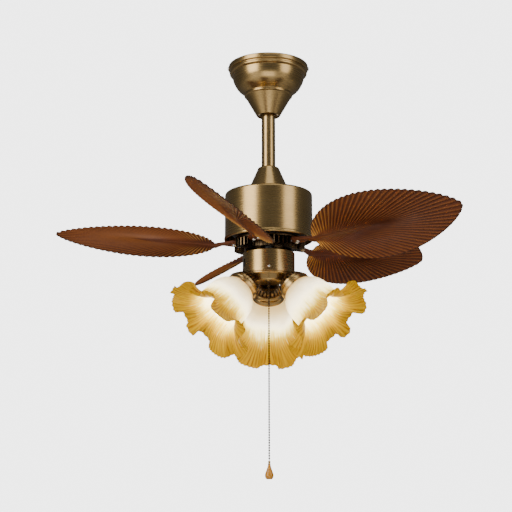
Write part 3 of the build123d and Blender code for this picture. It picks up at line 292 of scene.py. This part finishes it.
MATERIALS = {
    "antique_brass": metal("antique_brass", (0.52, 0.35, 0.145), (0.34, 0.215, 0.08), 0.27),
    "dark_bronze": metal("dark_bronze", (0.20, 0.135, 0.07), (0.075, 0.05, 0.03), 0.27, (40, 40, 40)),
    "leaf_plastic": leaf_material(),
    "frosted_glass": shade_material(),
    "bulb_glass": bulb_material(),
    "bright_steel": metal("bright_steel", (0.78, 0.77, 0.74), (0.55, 0.53, 0.5), 0.16, (60, 60, 60)),
    "brass_screw": metal("brass_screw", (0.6, 0.42, 0.2), (0.38, 0.26, 0.12), 0.2, (60, 60, 60)),
    "zinc_steel": metal("zinc_steel", (0.58, 0.58, 0.56), (0.42, 0.42, 0.4), 0.34, (30, 30, 30)),
    "cast_alloy": metal("cast_alloy", (0.46, 0.46, 0.45), (0.3, 0.3, 0.3), 0.5, (200, 200, 200), 0.3),
    "core_steel": metal("core_steel", (0.2, 0.2, 0.22), (0.12, 0.12, 0.13), 0.42, (3, 3, 1600), 0.5),
    "copper_wire": metal("copper_wire", (0.72, 0.30, 0.14), (0.45, 0.18, 0.09), 0.28, (4, 4, 1300), 0.6),
    "black_plastic": moulded("black_plastic", (0.018, 0.018, 0.018), (0.035, 0.034, 0.033), 0.42),
    "white_ceramic": moulded("white_ceramic", (0.82, 0.79, 0.72), (0.7, 0.66, 0.58), 0.22, 0.4),
    "chain_bronze": metal("chain_bronze", (0.09, 0.058, 0.03), (0.04, 0.026, 0.014), 0.32, (300, 300, 300)),
    "amber_resin": amber_material(),
}

for part in frame["record"]["subparts"]:
    node = frame["nodes"][part["node"]]
    node.data.materials.clear()
    node.data.materials.append(MATERIALS[part["material_slot"]])


# ------------------------------------------------------------------------------------------
# Mesh helpers
# ------------------------------------------------------------------------------------------
def new_mesh(name, vertices, faces, slot, body, sharp=35.0, attributes=None, smooth=True):
    """An object in the row frame (vertices in millimetres), riding a body."""
    mesh = bpy.data.meshes.new(name)
    mesh.from_pydata([tuple(MM * c for c in v) for v in vertices], [], faces)
    mesh.update()
    for key, values in (attributes or {}).items():
        layer = mesh.attributes.new(key, "FLOAT", "POINT")
        layer.data.foreach_set("value", np.asarray(values, np.float32))
    mesh.validate()
    if smooth:
        mesh.shade_smooth()
        mesh.set_sharp_from_angle(angle=math.radians(sharp))
    mesh.materials.append(MATERIALS[slot])
    obj = bpy.data.objects.new(name, mesh)
    bpy.context.scene.collection.objects.link(obj)
    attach(obj, body)
    return obj


def ring_faces(rings, count, closed_start=False, closed_end=False):
    faces = []
    for i in range(rings - 1):
        for j in range(count):
            k = (j + 1) % count
            faces.append((i * count + j, i * count + k, (i + 1) * count + k, (i + 1) * count + j))
    if closed_start:
        faces.append(tuple(reversed(range(count))))
    if closed_end:
        faces.append(tuple(range((rings - 1) * count, rings * count)))
    return faces


def softened(profile, radius, steps=3):
    """The profile with each corner replaced by a small arc-like curve."""
    out = [profile[0]]
    for a, b, c in zip(profile, profile[1:], profile[2:]):
        a, b, c = Vector(a), Vector(b), Vector(c)
        cut = min(radius, 0.45 * (a - b).length, 0.45 * (c - b).length)
        p = b + (a - b).normalized() * cut
        q = b + (c - b).normalized() * cut
        for i in range(steps + 1):
            t = i / steps
            out.append(tuple((1 - t) ** 2 * p + 2 * t * (1 - t) * b + t * t * q))
    out.append(profile[-1])
    return out


def lathe(name, profile, slot, body, segments=128, matrix=None, soften=0.5, sharp=50.0):
    """A turned piece: profile points are (radius, height) in millimetres."""
    if soften:
        profile = softened(profile, soften)
    vertices = []
    for r, z in profile:
        for j in range(segments):
            a = 2 * math.pi * j / segments
            v = Vector((r * math.cos(a), r * math.sin(a), z))
            vertices.append(tuple(matrix @ v) if matrix else tuple(v))
    return new_mesh(name, vertices, ring_faces(len(profile), segments), slot, body, sharp)


def smooth_curve(points, steps=8):
    """Catmull-Rom curve through the points."""
    pts = [Vector(p) for p in points]
    pts = [2 * pts[0] - pts[1]] + pts + [2 * pts[-1] - pts[-2]]
    out = []
    for a, b, c, d in zip(pts, pts[1:], pts[2:], pts[3:]):
        for i in range(steps):
            t = i / steps
            square = 2 * a - 5 * b + 4 * c - d
            cube = 3 * b - a - 3 * c + d
            out.append(tuple(0.5 * (2 * b + (c - a) * t + square * t**2 + cube * t**3)))
    out.append(tuple(pts[-2]))
    return out


def direction(angle, elevation=0.0):
    plan, lift = math.radians(angle), math.radians(elevation)
    return Vector((math.cos(plan) * math.cos(lift), math.sin(plan) * math.cos(lift), math.sin(lift)))


def axes_matrix(x, y, z, origin):
    m = Matrix.Identity(4)
    for i, column in enumerate((x, y, z, origin)):
        for j in range(3):
            m[j][i] = column[j]
    return m


def domed_screw(centre, normal, radius, height, turn=0.0):
    """Vertices and faces of a domed screw head with a cross recess, in millimetres."""
    z = Vector(normal).normalized()
    x = z.orthogonal().normalized()
    y = z.cross(x)
    count = 24
    vertices, faces = [], []
    levels = [
        (1.0, 0.0), (1.0, 0.25), (0.93, 0.55), (0.78, 0.8), (0.52, 0.97), (0.3, 1.0), (0.0, 1.0),
    ]
    for k, (r, h) in enumerate(levels):
        for j in range(count):
            a = 2 * math.pi * j / count + turn
            rr = r * radius
            hh = h * height
            if k >= 4:
                cross = max(abs(math.cos(2 * (a - turn))), 0.0) ** 6
                hh -= cross * height * 0.55 if k > 4 else cross * height * 0.12
            vertices.append(tuple(Vector(centre) + x * rr * math.cos(a) + y * rr * math.sin(a) + z * hh))
    faces = ring_faces(len(levels), count)
    return vertices, faces


def merged(name, pieces, slot, body, sharp=35.0):
    vertices, faces = [], []
    for v, f in pieces:
        offset = len(vertices)
        vertices += v
        faces += [tuple(i + offset for i in face) for face in f]
    return new_mesh(name, vertices, faces, slot, body, sharp)


# ------------------------------------------------------------------------------------------
# Canopy, downrod cover, motor housing and fitter bowl
# ------------------------------------------------------------------------------------------
canopy_outline = [
    (70.0, -0.6), (76.6, -0.3), (78.0, -1.4), (78.0, -9.0), (77.0, -10.2), (74.5, -10.8),
    (74.5, -13.2), (76.0, -14.0), (76.0, -16.8), (74.4, -18.2), (71.0, -18.9),
]
canopy_outline += smooth_curve([
    (70.9, -19.6), (69.6, -28.0), (66.2, -37.0), (59.5, -47.5), (46.6, -58.4),
], 8)[1:]
canopy_outline += [
    (46.4, -59.4), (47.0, -60.4), (47.0, -62.6), (46.0, -63.6), (44.6, -64.2), (22.9, -102.4),
    (22.4, -103.0), (21.2, -103.0), (21.1, -100.0), (24.0, -95.0), (44.0, -60.0), (68.0, -28.0),
    (76.0, -2.0),
]
canopy = lathe("canopy_shell", canopy_outline, "antique_brass", "ceiling", 160, soften=0.5)
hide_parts("canopy")

cover_outline = [(13.8, -208.2), (17.6, -208.1)]
cover_outline += smooth_curve([(18.6, -208.3), (20.6, -209.8), (21.6, -212.6)], 6)
cover_outline += [
    (41.3, -257.8), (41.5, -258.6), (41.5, -260.0), (40.2, -260.0), (20.3, -212.8), (18.0, -209.6),
    (13.8, -209.4),
]
cover = lathe("yoke_cover_shell", cover_outline, "antique_brass", "hung", 112, soften=0.4)
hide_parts("yoke_cover")

housing_outline = [(41.0, -260.2), (78.8, -260.2)]
housing_outline += smooth_curve([(79.4, -260.3), (82.2, -261.4), (83.7, -263.6), (84.0, -266.0)], 6)
housing_outline += [
    (84.0, -346.8), (84.3, -347.6), (85.1, -348.6), (85.2, -350.8), (84.4, -352.4), (82.9, -352.8),
    (81.6, -351.8), (81.4, -349.0), (81.4, -262.0), (41.0, -261.8),
]
housing = lathe("motor_housing_shell", housing_outline, "antique_brass", "hung", 192, soften=0.35)
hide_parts("motor_housing")

fitter_outline = [(0.0, -434.0), (26.0, -434.0), (30.4, -433.8), (31.4, -433.1), (31.6, -432.2)]
fitter_outline += smooth_curve([(32.0, -431.6), (36.0, -429.0), (41.0, -426.0), (45.4, -423.6)], 5)
fitter_outline += [
    (46.2, -423.2), (47.8, -422.8), (48.2, -422.2), (48.2, -420.6), (47.4, -420.2), (47.4, -419.8),
    (48.2, -419.4), (48.1, -409.0), (46.6, -409.0), (45.4, -420.0), (30.0, -431.2), (27.0, -432.5),
    (0.0, -432.5),
]
fitter = lathe("fitter_bowl_shell", fitter_outline, "antique_brass", "hung", 128, soften=0.25)
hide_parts("fitter_bowl")

# ------------------------------------------------------------------------------------------
# Blades: pleated palm leaves
# ------------------------------------------------------------------------------------------
LEAF_BASE_R = 102.0
LEAF_BASE_Z = -363.0
LEAF_RISE = 4.5
LEAF_PITCH = 33.0
LEAF_LENGTH = (406.4 - LEAF_BASE_R) / math.cos(math.radians(LEAF_RISE))
LEAF_HALF = 82.0
ROOT_Z = -358.75
BLADE_ANGLES = [-35.0 + 72.0 * k for k in range(5)]
PLEATS = 30
PLEAT_STEPS = 6
ACROSS = 22


def leaf_frame(angle):
    along = direction(angle, LEAF_RISE)
    level = direction(angle + 90.0)
    up = along.cross(level)
    pitch = math.radians(LEAF_PITCH)
    across = level * math.cos(pitch) - up * math.sin(pitch)
    origin = direction(angle) * LEAF_BASE_R + Vector((0, 0, LEAF_BASE_Z))
    return axes_matrix(along, across, along.cross(across), origin)


def leaf_half(side):
    """Grid of (x, y, z, u, t, crest) over one half of a leaf, in the leaf's frame."""
    s = np.linspace(0, 1, 600)
    edge = np.stack([s * LEAF_LENGTH, LEAF_HALF * np.sin(np.pi * np.clip(s, 0, 1) ** 0.8) ** 0.64], 1)
    run = np.concatenate([[0], np.cumsum(np.linalg.norm(np.diff(edge, axis=0), axis=1))])
    run /= run[-1]
    rows = PLEATS * PLEAT_STEPS
    t = np.linspace(0, 1, rows + 1)
    ex, ey = np.interp(t, run, edge[:, 0]), np.interp(t, run, edge[:, 1])
    ox = 0.44 * LEAF_LENGTH * t**1.15
    ray = np.stack([ex - ox, ey], 1)
    length = np.maximum(np.linalg.norm(ray, axis=1), 1e-6)
    phase = (t * PLEATS) % 1.0
    bulge = np.abs(np.sin(np.pi * t * PLEATS)) ** 0.8 * np.minimum(1.0, length / 30.0) * 1.6
    reach = 1.0 + (bulge - 1.2) / np.maximum(length, 12.0)
    grid = []
    for j in range(ACROSS + 1):
        u = j / ACROSS
        x = ox + ray[:, 0] * u * reach
        y = ey * u * reach
        crest = 1.0 - np.abs(2 * phase - 1)
        depth = np.minimum(1.0, length * u / 34.0) * (1.35 - 0.35 * u)
        cup = -1.6 * (y / LEAF_HALF) ** 2 + 0.5
        sag = -1.6 * (x / LEAF_LENGTH) ** 2
        z = cup + sag + (crest - 0.5) * 2.1 * depth
        half = t + (0 if side > 0 else 3.0)
        grid.append(np.stack([x, side * y, z, np.full_like(x, u), half, crest * depth], 1))
    return np.array(grid)


def leaf_mesh():
    vertices, faces, fields = [], [], []
    for side in (1, -1):
        grid = leaf_half(side)
        rows, count = grid.shape[0], grid.shape[1]
        for skin in (1, -1):
            offset = len(vertices)
            thick = 1.15 * (1.0 - 0.45 * grid[:, :, 3])
            for j in range(rows):
                for i in range(count):
                    x, y, z, u, t, crest = grid[j, i]
                    vertices.append((x, y, z + skin * thick[j, i]))
                    fields.append((u, t, crest if skin > 0 else max(0.0, 1.0 - crest) * min(1.0, u * 3)))
            for j in range(rows - 1):
                for i in range(count - 1):
                    a, b = offset + j * count + i, offset + j * count + i + 1
                    c, d = offset + (j + 1) * count + i + 1, offset + (j + 1) * count + i
                    faces.append((a, b, c, d) if skin * side < 0 else (d, c, b, a))
        # close the scalloped edge
        top, bottom = offset - rows * count, offset
        last = (rows - 1) * count
        for i in range(count - 1):
            a, b = top + last + i, top + last + i + 1
            c, d = bottom + last + i + 1, bottom + last + i
            faces.append((a, b, c, d) if side < 0 else (d, c, b, a))
    return vertices, faces, fields


def section_ring(centre, across, up, half_width, half_height, count=20, power=3.0):
    """Rounded-rectangle section of a stem."""
    ring = []
    for k in range(count):
        a = 2 * math.pi * k / count
        c, s = math.cos(a), math.sin(a)
        x = math.copysign(abs(c) ** (2 / power), c) * half_width
        y = math.copysign(abs(s) ** (2 / power), s) * half_height
        ring.append(tuple(centre + across * x + up * y))
    return ring


def blade_stem(angle):
    """Root plate, neck and midrib in one loft, from the flywheel out along the leaf."""
    level, radial = direction(angle + 90.0), direction(angle)
    # radius, half width, half height, and how far the section has turned to the leaf's pitch
    stations = [
        (50.4, 20.0, 2.4, 0.0), (51.2, 20.8, 2.75, 0.0), (62.0, 20.8, 2.75, 0.0),
        (70.0, 20.2, 2.75, 0.0), (76.0, 15.5, 2.8, 0.0), (82.0, 10.5, 3.0, 0.0),
        (88.0, 7.4, 3.4, 0.05), (94.0, 6.3, 4.2, 0.35), (100.0, 6.6, 4.6, 0.8),
        (106.0, 7.6, 4.0, 1.0), (118.0, 5.0, 3.3, 1.0), (150.0, 3.4, 2.8, 1.0),
        (190.0, 2.4, 2.3, 1.0), (225.0, 1.6, 1.7, 1.0), (245.0, 0.7, 0.8, 1.0),
    ]
    rings = []
    for r, w, h, twist in stations:
        out = max(0.0, r - LEAF_BASE_R)
        climb = (r - LEAF_BASE_R) * math.tan(math.radians(LEAF_RISE))
        leaf_z = LEAF_BASE_Z + climb + 0.8 * min(1.0, out / 20)
        z = ROOT_Z * (1 - twist) + leaf_z * twist
        roll = math.radians(LEAF_PITCH) * twist
        up0 = Vector((0, 0, 1))
        across = level * math.cos(roll) - up0 * math.sin(roll)
        up = radial.cross(across)
        power = 5.0 if r < 84 else 2.6
        rings.append(section_ring(radial * r + Vector((0, 0, z)), across, up, w, h, power=power))
    vertices = [v for ring in rings for v in ring]
    return vertices, ring_faces(len(rings), 20, True, True)


leaf_v, leaf_f, leaf_fields = leaf_mesh()
for index, angle in enumerate(BLADE_ANGLES):
    m = leaf_frame(angle)
    placed = [tuple(m @ Vector(v)) for v in leaf_v]
    stem_v, stem_f = blade_stem(angle)
    offset = len(placed)
    faces = leaf_f + [tuple(i + offset for i in f) for f in stem_f]
    stem_fields = [(0.05 + 0.4 * (i % 20) / 20, 5.0 + 0.02 * (i % 20), 0.25) for i in range(len(stem_v))]
    fields = np.array(leaf_fields + stem_fields)
    blade = new_mesh(
        f"leaf_{index + 1}", placed + stem_v, faces, "leaf_plastic", "rotor", 50.0,
        {"leaf_u": fields[:, 0], "leaf_t": fields[:, 1], "leaf_crest": fields[:, 2]},
    )
    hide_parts(f"blade_{index + 1}")

# screws under the blade roots
pieces = []
for index, angle in enumerate(BLADE_ANGLES):
    for x, y in ((56.0, -12.0), (56.0, 12.0), (66.0, 0.0)):
        centre = direction(angle) * x + direction(angle + 90.0) * y + Vector((0, 0, -361.5))
        pieces.append(domed_screw(centre, (0, 0, -1), 4.4, 2.4, index + x))
screws = merged("blade_screw_heads", pieces, "bright_steel", "rotor")
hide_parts("blade_screws")

# ------------------------------------------------------------------------------------------
# Light kit
# ------------------------------------------------------------------------------------------
LAMP_ANGLES = (90.0, 210.0, 330.0)
LAMP_TILT = -45.0
LAMP_REACH = 62.5
LAMP_Z = -452.0


def lamp_matrix(angle):
    axis = direction(angle, LAMP_TILT)
    tangent = direction(angle + 90.0)
    origin = direction(angle) * LAMP_REACH + Vector((0, 0, LAMP_Z))
    return axes_matrix(tangent, axis.cross(tangent), axis, origin)


def m_point(matrix, radius, step, z, count=16):
    """Point of a small round section, placed by a matrix."""
    a = 2 * math.pi * step / count
    return tuple(matrix @ Vector((radius * math.cos(a), radius * math.sin(a), z)))


def flattened(vertices, matrix):
    return [tuple(matrix @ Vector(v)) for v in vertices]


def melon_cap(count=18, per=10):
    """Ribbed dome: each rib swells between two creases and fades at the apex."""
    profile = smooth_curve([
        (0.0, -31.0), (8.0, -31.0), (14.5, -30.7), (19.0, -29.2), (22.6, -25.6), (24.8, -21.0),
        (25.5, -17.5),
    ], 6)
    vertices = []
    segments = count * per
    for r, s in profile:
        grow = min(1.0, max(0.0, (r - 8.0) / 14.0))
        for j in range(segments):
            a = 2 * math.pi * j / segments
            crease = 1.0 - abs(math.sin(count * a / 2)) ** 0.6
            rr = r * (1.0 - 0.12 * grow * crease)
            vertices.append((rr * math.cos(a), rr * math.sin(a), s + 0.6 * grow * crease))
    return vertices, ring_faces(len(profile), segments)


HOLDER_OUTLINE = [
    (16.2, -17.5), (26.4, -17.5), (27.4, -17.1), (28.0, -16.4), (28.0, -12.2), (28.3, -11.4),
    (30.0, -10.6), (30.9, -9.8), (31.0, -9.0), (31.0, -7.8), (30.5, -7.2), (30.5, -2.2),
    (31.0, -1.6), (31.0, -0.6), (30.6, 0.0), (29.8, 0.0), (29.7, -8.7), (26.8, -10.2),
    (26.7, -16.2), (16.2, -16.2),
]

SHADE_PROFILE = [
    (28.3, -8.2), (28.4, 1.0), (33.0, 6.0), (39.0, 13.0), (43.5, 23.0), (45.5, 36.0), (46.2, 50.0),
    (47.5, 61.0), (50.5, 70.0), (57.0, 79.0), (67.0, 86.0), (78.0, 91.0), (90.0, 94.5),
]
DROOP = (270.0, 13.0, 167.0)  # where each rim hangs furthest forward, round its own axis
RUFFLES = 8


def shade_grid(phase, near):
    """Skin of a ruffled bell: outside down to the rim, then back up the inside."""
    curve = np.array(smooth_curve(SHADE_PROFILE, 9))
    run = np.concatenate([[0], np.cumsum(np.linalg.norm(np.diff(curve, axis=0), axis=1))])
    run /= run[-1]
    tangent = np.gradient(curve, axis=0)
    tangent /= np.linalg.norm(tangent, axis=1)[:, None]
    normal = np.stack([tangent[:, 1], -tangent[:, 0]], 1)
    segments = RIBS * 8
    a = np.linspace(0, 2 * np.pi, segments, endpoint=False)
    wobble = a + 0.09 * np.sin(3 * a + phase) + 0.05 * np.sin(5 * a + 2.0)
    fold = np.sin(RUFFLES * wobble + phase)
    size = 1.0 + 0.22 * np.sin(3 * a + 2.3 * phase) + 0.12 * np.sin(2 * a + 0.5)
    ruffle = (1.25 * fold - 0.25 * fold**3) * size + 0.16 * np.sin(2 * RUFFLES * wobble + 1.1)
    lean = np.sin(2 * RUFFLES * wobble + 2 * phase)
    rows = []
    order = [(i, 1) for i in range(len(curve))] + [(i, -1) for i in reversed(range(len(curve)))]
    for i, skin in order:
        u = run[i]
        wave = max(0.0, (u - 0.50) / 0.50) ** 1.4
        rib = np.sin(RIBS * a) * (0.10 + 0.45 * wave) * min(1.0, max(0.0, (u - 0.10) / 0.1))
        thick = 1.3 * (1.0 - 0.35 * u)
        r = curve[i, 0] + skin * normal[i, 0] * thick - 0.6
        s = curve[i, 1] + skin * normal[i, 1] * thick
        radius = r + rib + wave * 2.4 * ruffle - wave * 0.6
        height = s + rib - wave * 9.5 * ruffle + wave * 8.0 * np.cos(a - near)
        turn = a - wave * lean * 0.05
        x, y = radius * np.cos(turn), radius * np.sin(turn)
        rows.append(np.stack([x, y, height, np.full_like(a, u), a / (2 * np.pi)], 1))
    return np.array(rows), segments


for index, angle in enumerate(LAMP_ANGLES):
    m = lamp_matrix(angle)
    cap_v, cap_f = melon_cap()
    cap = new_mesh(f"melon_cap_{index + 1}", flattened(cap_v, m), cap_f, "dark_bronze", "hung", 60.0)
    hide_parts(f"lamp_cap_{index + 1}")
    holder = lathe(f"holder_{index + 1}", HOLDER_OUTLINE, "antique_brass", "hung", 96, m, 0.2)
    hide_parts(f"shade_holder_{index + 1}")
    grid, segments = shade_grid(1.3 + 2.4 * index, math.radians(DROOP[index]))
    flat = grid.reshape(-1, 5)
    shade = new_mesh(
        f"ruffled_shade_{index + 1}", flattened(flat[:, :3], m), ring_faces(len(grid), segments),
        "frosted_glass", "hung", 75.0,
        {"shade_s": flat[:, 3], "shade_turn": flat[:, 4]},
    )
    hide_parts(f"shade_{index + 1}")

# ------------------------------------------------------------------------------------------
# Side screws of the switch housing
# ------------------------------------------------------------------------------------------
pieces = []
for angle in (30.0, 150.0, 270.0):
    out = direction(angle)
    pieces.append(domed_screw(out * 49.7 + Vector((0, 0, -412.0)), out, 2.6, 1.6, angle))
side_screws = merged("side_screw_heads", pieces, "bright_steel", "hung")
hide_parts("switch_housing_screws")

# the small screws that hold each shade, at the collar's wider step
pieces = []
for angle in LAMP_ANGLES:
    m = lamp_matrix(angle)
    for turn in (30.0, 150.0, 270.0):
        a = math.radians(turn)
        out = Vector((math.cos(a), math.sin(a), 0.0))
        centre = m @ (out * 32.0 + Vector((0, 0, -4.0)))
        normal = m.to_3x3() @ out
        pieces.append(domed_screw(centre, normal, 2.4, 1.8, turn))
        outward = out.to_track_quat("Z", "Y").to_matrix().to_4x4()
        shank = m @ Matrix.Translation(out * 30.4 + Vector((0, 0, -4.0))) @ outward
        rings = [[m_point(shank, 1.5, k, z) for k in range(16)] for z in (0.0, 1.7)]
        pieces.append(([v for ring in rings for v in ring], ring_faces(2, 16, True, True)))
thumbs = merged("shade_screw_heads", pieces, "brass_screw", "hung")
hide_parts("thumb_screws")

# canopy screws: two under the closing ring, two through the rim
pieces = []
for side in (1.0, -1.0):
    pieces.append(domed_screw(Vector((18.1 * side, 0, -100.5)), (0, 0, -1), 2.6, 1.6, 20.0 * side))
ring_screws = merged("ring_screw_heads", pieces, "bright_steel", "ceiling")
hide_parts("canopy_ring_screws")
pieces = []
for side in (1.0, -1.0):
    pieces.append(domed_screw(Vector((78.0 * side, 0, -5.3)), (side, 0, 0), 4.0, 2.0, 35.0 * side))
rim_screws = merged("rim_screw_heads", pieces, "bright_steel", "ceiling")
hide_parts("canopy_side_screws")

# ------------------------------------------------------------------------------------------
# Beaded pull chain
# ------------------------------------------------------------------------------------------
CHAIN_Y = -17.0
CHAIN_TOP, CHAIN_BOTTOM = -424.0, -769.0
BEAD_R = 1.9
PITCH = 4.7
WIRE_R = 0.7
WIRE_SIDES = 8


def chain_route():
    """Centreline of the hanging chain, read from a spline."""
    data = bpy.data.curves.new("chain_route", "CURVE")
    data.dimensions = "3D"
    data.resolution_u = 24
    spline = data.splines.new("NURBS")
    heights = np.linspace(CHAIN_TOP, CHAIN_BOTTOM, 8)
    spline.points.add(len(heights) - 1)
    for point, z in zip(spline.points, heights):
        point.co = (0.0, CHAIN_Y * MM, z * MM, 1.0)
    spline.order_u = 3
    spline.use_endpoint_u = True
    obj = bpy.data.objects.new("chain_route", data)
    bpy.context.scene.collection.objects.link(obj)
    bpy.context.view_layer.update()
    mesh = bpy.data.meshes.new_from_object(obj)
    points = [tuple(v.co) for v in mesh.vertices]
    bpy.data.objects.remove(obj)
    bpy.data.meshes.remove(mesh)
    return points


def sphere(centre, radius, rings=8, count=14):
    vertices = []
    for i in range(rings + 1):
        b = math.pi * i / rings
        for j in range(count):
            a = 2 * math.pi * j / count
            x, y, z = math.sin(b) * math.cos(a), math.sin(b) * math.sin(a), math.cos(b)
            vertices.append((centre[0] + radius * x, centre[1] + radius * y, centre[2] + radius * z))
    return vertices, ring_faces(rings + 1, count)


def along(points, distance):
    """Point at a distance along a line of points, and the line's direction there."""
    for a, b in zip(points, points[1:]):
        step = (b - a).length
        if distance <= step:
            return a + (b - a) * (distance / step), (b - a).normalized()
        distance -= step
    return points[-1], (points[-1] - points[-2]).normalized()


route = chain_route()
line = [Vector(point) / MM for point in route]
line_length = sum((b - a).length for a, b in zip(line, line[1:]))
pieces = []
reached = BEAD_R
while reached + BEAD_R < line_length:
    pieces.append(sphere(along(line, reached)[0], BEAD_R))
    reached += PITCH
wire = []
for distance in (0.0, line_length):
    centre, heading = along(line, distance)
    across = heading.cross(Vector((0, 1, 0))).normalized()
    other = across.cross(heading)
    for k in range(WIRE_SIDES):
        a = 2 * math.pi * k / WIRE_SIDES
        wire.append(tuple(centre + across * WIRE_R * math.cos(a) + other * WIRE_R * math.sin(a)))
pieces.append((wire, ring_faces(2, WIRE_SIDES, True, True)))
chain = merged("bead_chain", pieces, "chain_bronze", "pull", 80.0)
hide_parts("pull_chain")

knob_outline = [(0.0, -776.0), (2.2, -776.0), (2.6, -776.6)]
knob_outline += smooth_curve([
    (2.7, -777.2), (3.6, -781.0), (5.6, -786.6), (7.5, -791.8), (7.95, -795.2), (7.3, -798.8),
    (5.9, -801.0),
], 7)
knob_outline += [(5.3, -801.6), (4.2, -802.0), (0.0, -802.0)]
below_bowl = Matrix.Translation((0, CHAIN_Y, 0))
knob = lathe("knob_drop", knob_outline, "amber_resin", "pull", 64, below_bowl, 0.15, 60.0)
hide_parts("pull_knob")
connector_outline = [
    (0.0, -768.8), (1.6, -768.8), (2.5, -770.2), (2.6, -771.4), (2.0, -772.2), (2.0, -773.4),
    (2.6, -774.2), (2.6, -775.6), (1.9, -776.0), (0.0, -776.0),
]
connector = lathe("chain_bell", connector_outline, "brass_screw", "pull", 40, below_bowl, 0.2)
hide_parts("chain_connector")

# ------------------------------------------------------------------------------------------
# Stage, lights and camera
# ------------------------------------------------------------------------------------------
def stage_material(name, colour):
    n = Nodes(name)
    cloud = n.noise(n.coords(), 3.0, 3.0)
    paler = n.mix(cloud, colour, tuple(0.97 * c for c in colour))
    n.principled(Base_Color=paler, Roughness=n.remap(cloud, 0.85, 0.95))
    return n.material


floor_mesh = bpy.data.meshes.new("floor")
size = 6.0
floor_corners = [(-size, -size, 0), (size, -size, 0), (size, size, 0), (-size, size, 0)]
floor_mesh.from_pydata(floor_corners, [], [(0, 1, 2, 3)])
floor_mesh.materials.append(stage_material("pale_floor", (0.82, 0.82, 0.82)))
floor = bpy.data.objects.new("floor", floor_mesh)
floor.location = (0, 0, -1.5)
bpy.context.scene.collection.objects.link(floor)

world = bpy.data.worlds.new("studio")
bpy.context.scene.world = world
world.use_nodes = True
wt = world.node_tree
wt.nodes.clear()
world_out = wt.nodes.new("ShaderNodeOutputWorld")
camera_sky = wt.nodes.new("ShaderNodeBackground")
camera_sky.inputs["Color"].default_value = (1.0, 1.0, 1.0, 1.0)
camera_sky.inputs["Strength"].default_value = 4.1
fill_sky = wt.nodes.new("ShaderNodeBackground")
fill_sky.inputs["Color"].default_value = (0.9, 0.93, 1.0, 1.0)
fill_sky.inputs["Strength"].default_value = 0.12
ray = wt.nodes.new("ShaderNodeLightPath")
chooser = wt.nodes.new("ShaderNodeMixShader")
wt.links.new(ray.outputs["Is Camera Ray"], chooser.inputs[0])
wt.links.new(fill_sky.outputs[0], chooser.inputs[1])
wt.links.new(camera_sky.outputs[0], chooser.inputs[2])
wt.links.new(chooser.outputs[0], world_out.inputs["Surface"])


def softbox(name, azimuth, distance, height, size_x, size_y, power, colour=(1, 1, 1), aim=(0, 0, -0.36)):
    """Area light at an azimuth from the front (negative is left), aimed at the fan."""
    data = bpy.data.lights.new(name, "AREA")
    data.shape = "RECTANGLE"
    data.size, data.size_y = size_x, size_y
    data.energy = power
    data.color = colour
    obj = bpy.data.objects.new(name, data)
    a = math.radians(azimuth)
    obj.location = (distance * math.sin(a), -distance * math.cos(a), height)
    obj.rotation_euler = (Vector(aim) - obj.location).to_track_quat("-Z", "Y").to_euler()
    bpy.context.scene.collection.objects.link(obj)


softbox("key_left", -50, 2.6, 0.2, 1.5, 2.6, 66, (1.0, 0.98, 0.94))
softbox("key_right", 54, 2.6, 0.1, 1.3, 2.6, 30, (1.0, 0.98, 0.95))
softbox("top_soft", 10, 1.6, 1.7, 1.6, 1.6, 16)
softbox("under_front", 0, 1.7, -1.42, 1.5, 0.7, 9)

for index, angle in enumerate(LAMP_ANGLES):
    data = bpy.data.lights.new(f"lamp_glow_{index + 1}", "POINT")
    data.energy = 0.12
    data.color = (1.0, 0.82, 0.55)
    data.shadow_soft_size = 0.02
    glow = bpy.data.objects.new(f"lamp_glow_{index + 1}", data)
    glow.location = tuple(MM * c for c in lamp_matrix(angle) @ Vector((0, 0, 80.0)))
    bpy.context.scene.collection.objects.link(glow)
    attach(glow, "hung")

camera_data = bpy.data.cameras.new("camera")
camera_data.lens = 86.85
camera_data.sensor_width = 36.0
camera = bpy.data.objects.new("camera", camera_data)
camera.location = (-0.0242, -2.3, -0.8826)
camera.rotation_euler = (math.radians(90.0 + 12.27), 0.0, 0.0)
bpy.context.scene.collection.objects.link(camera)
bpy.context.scene.camera = camera
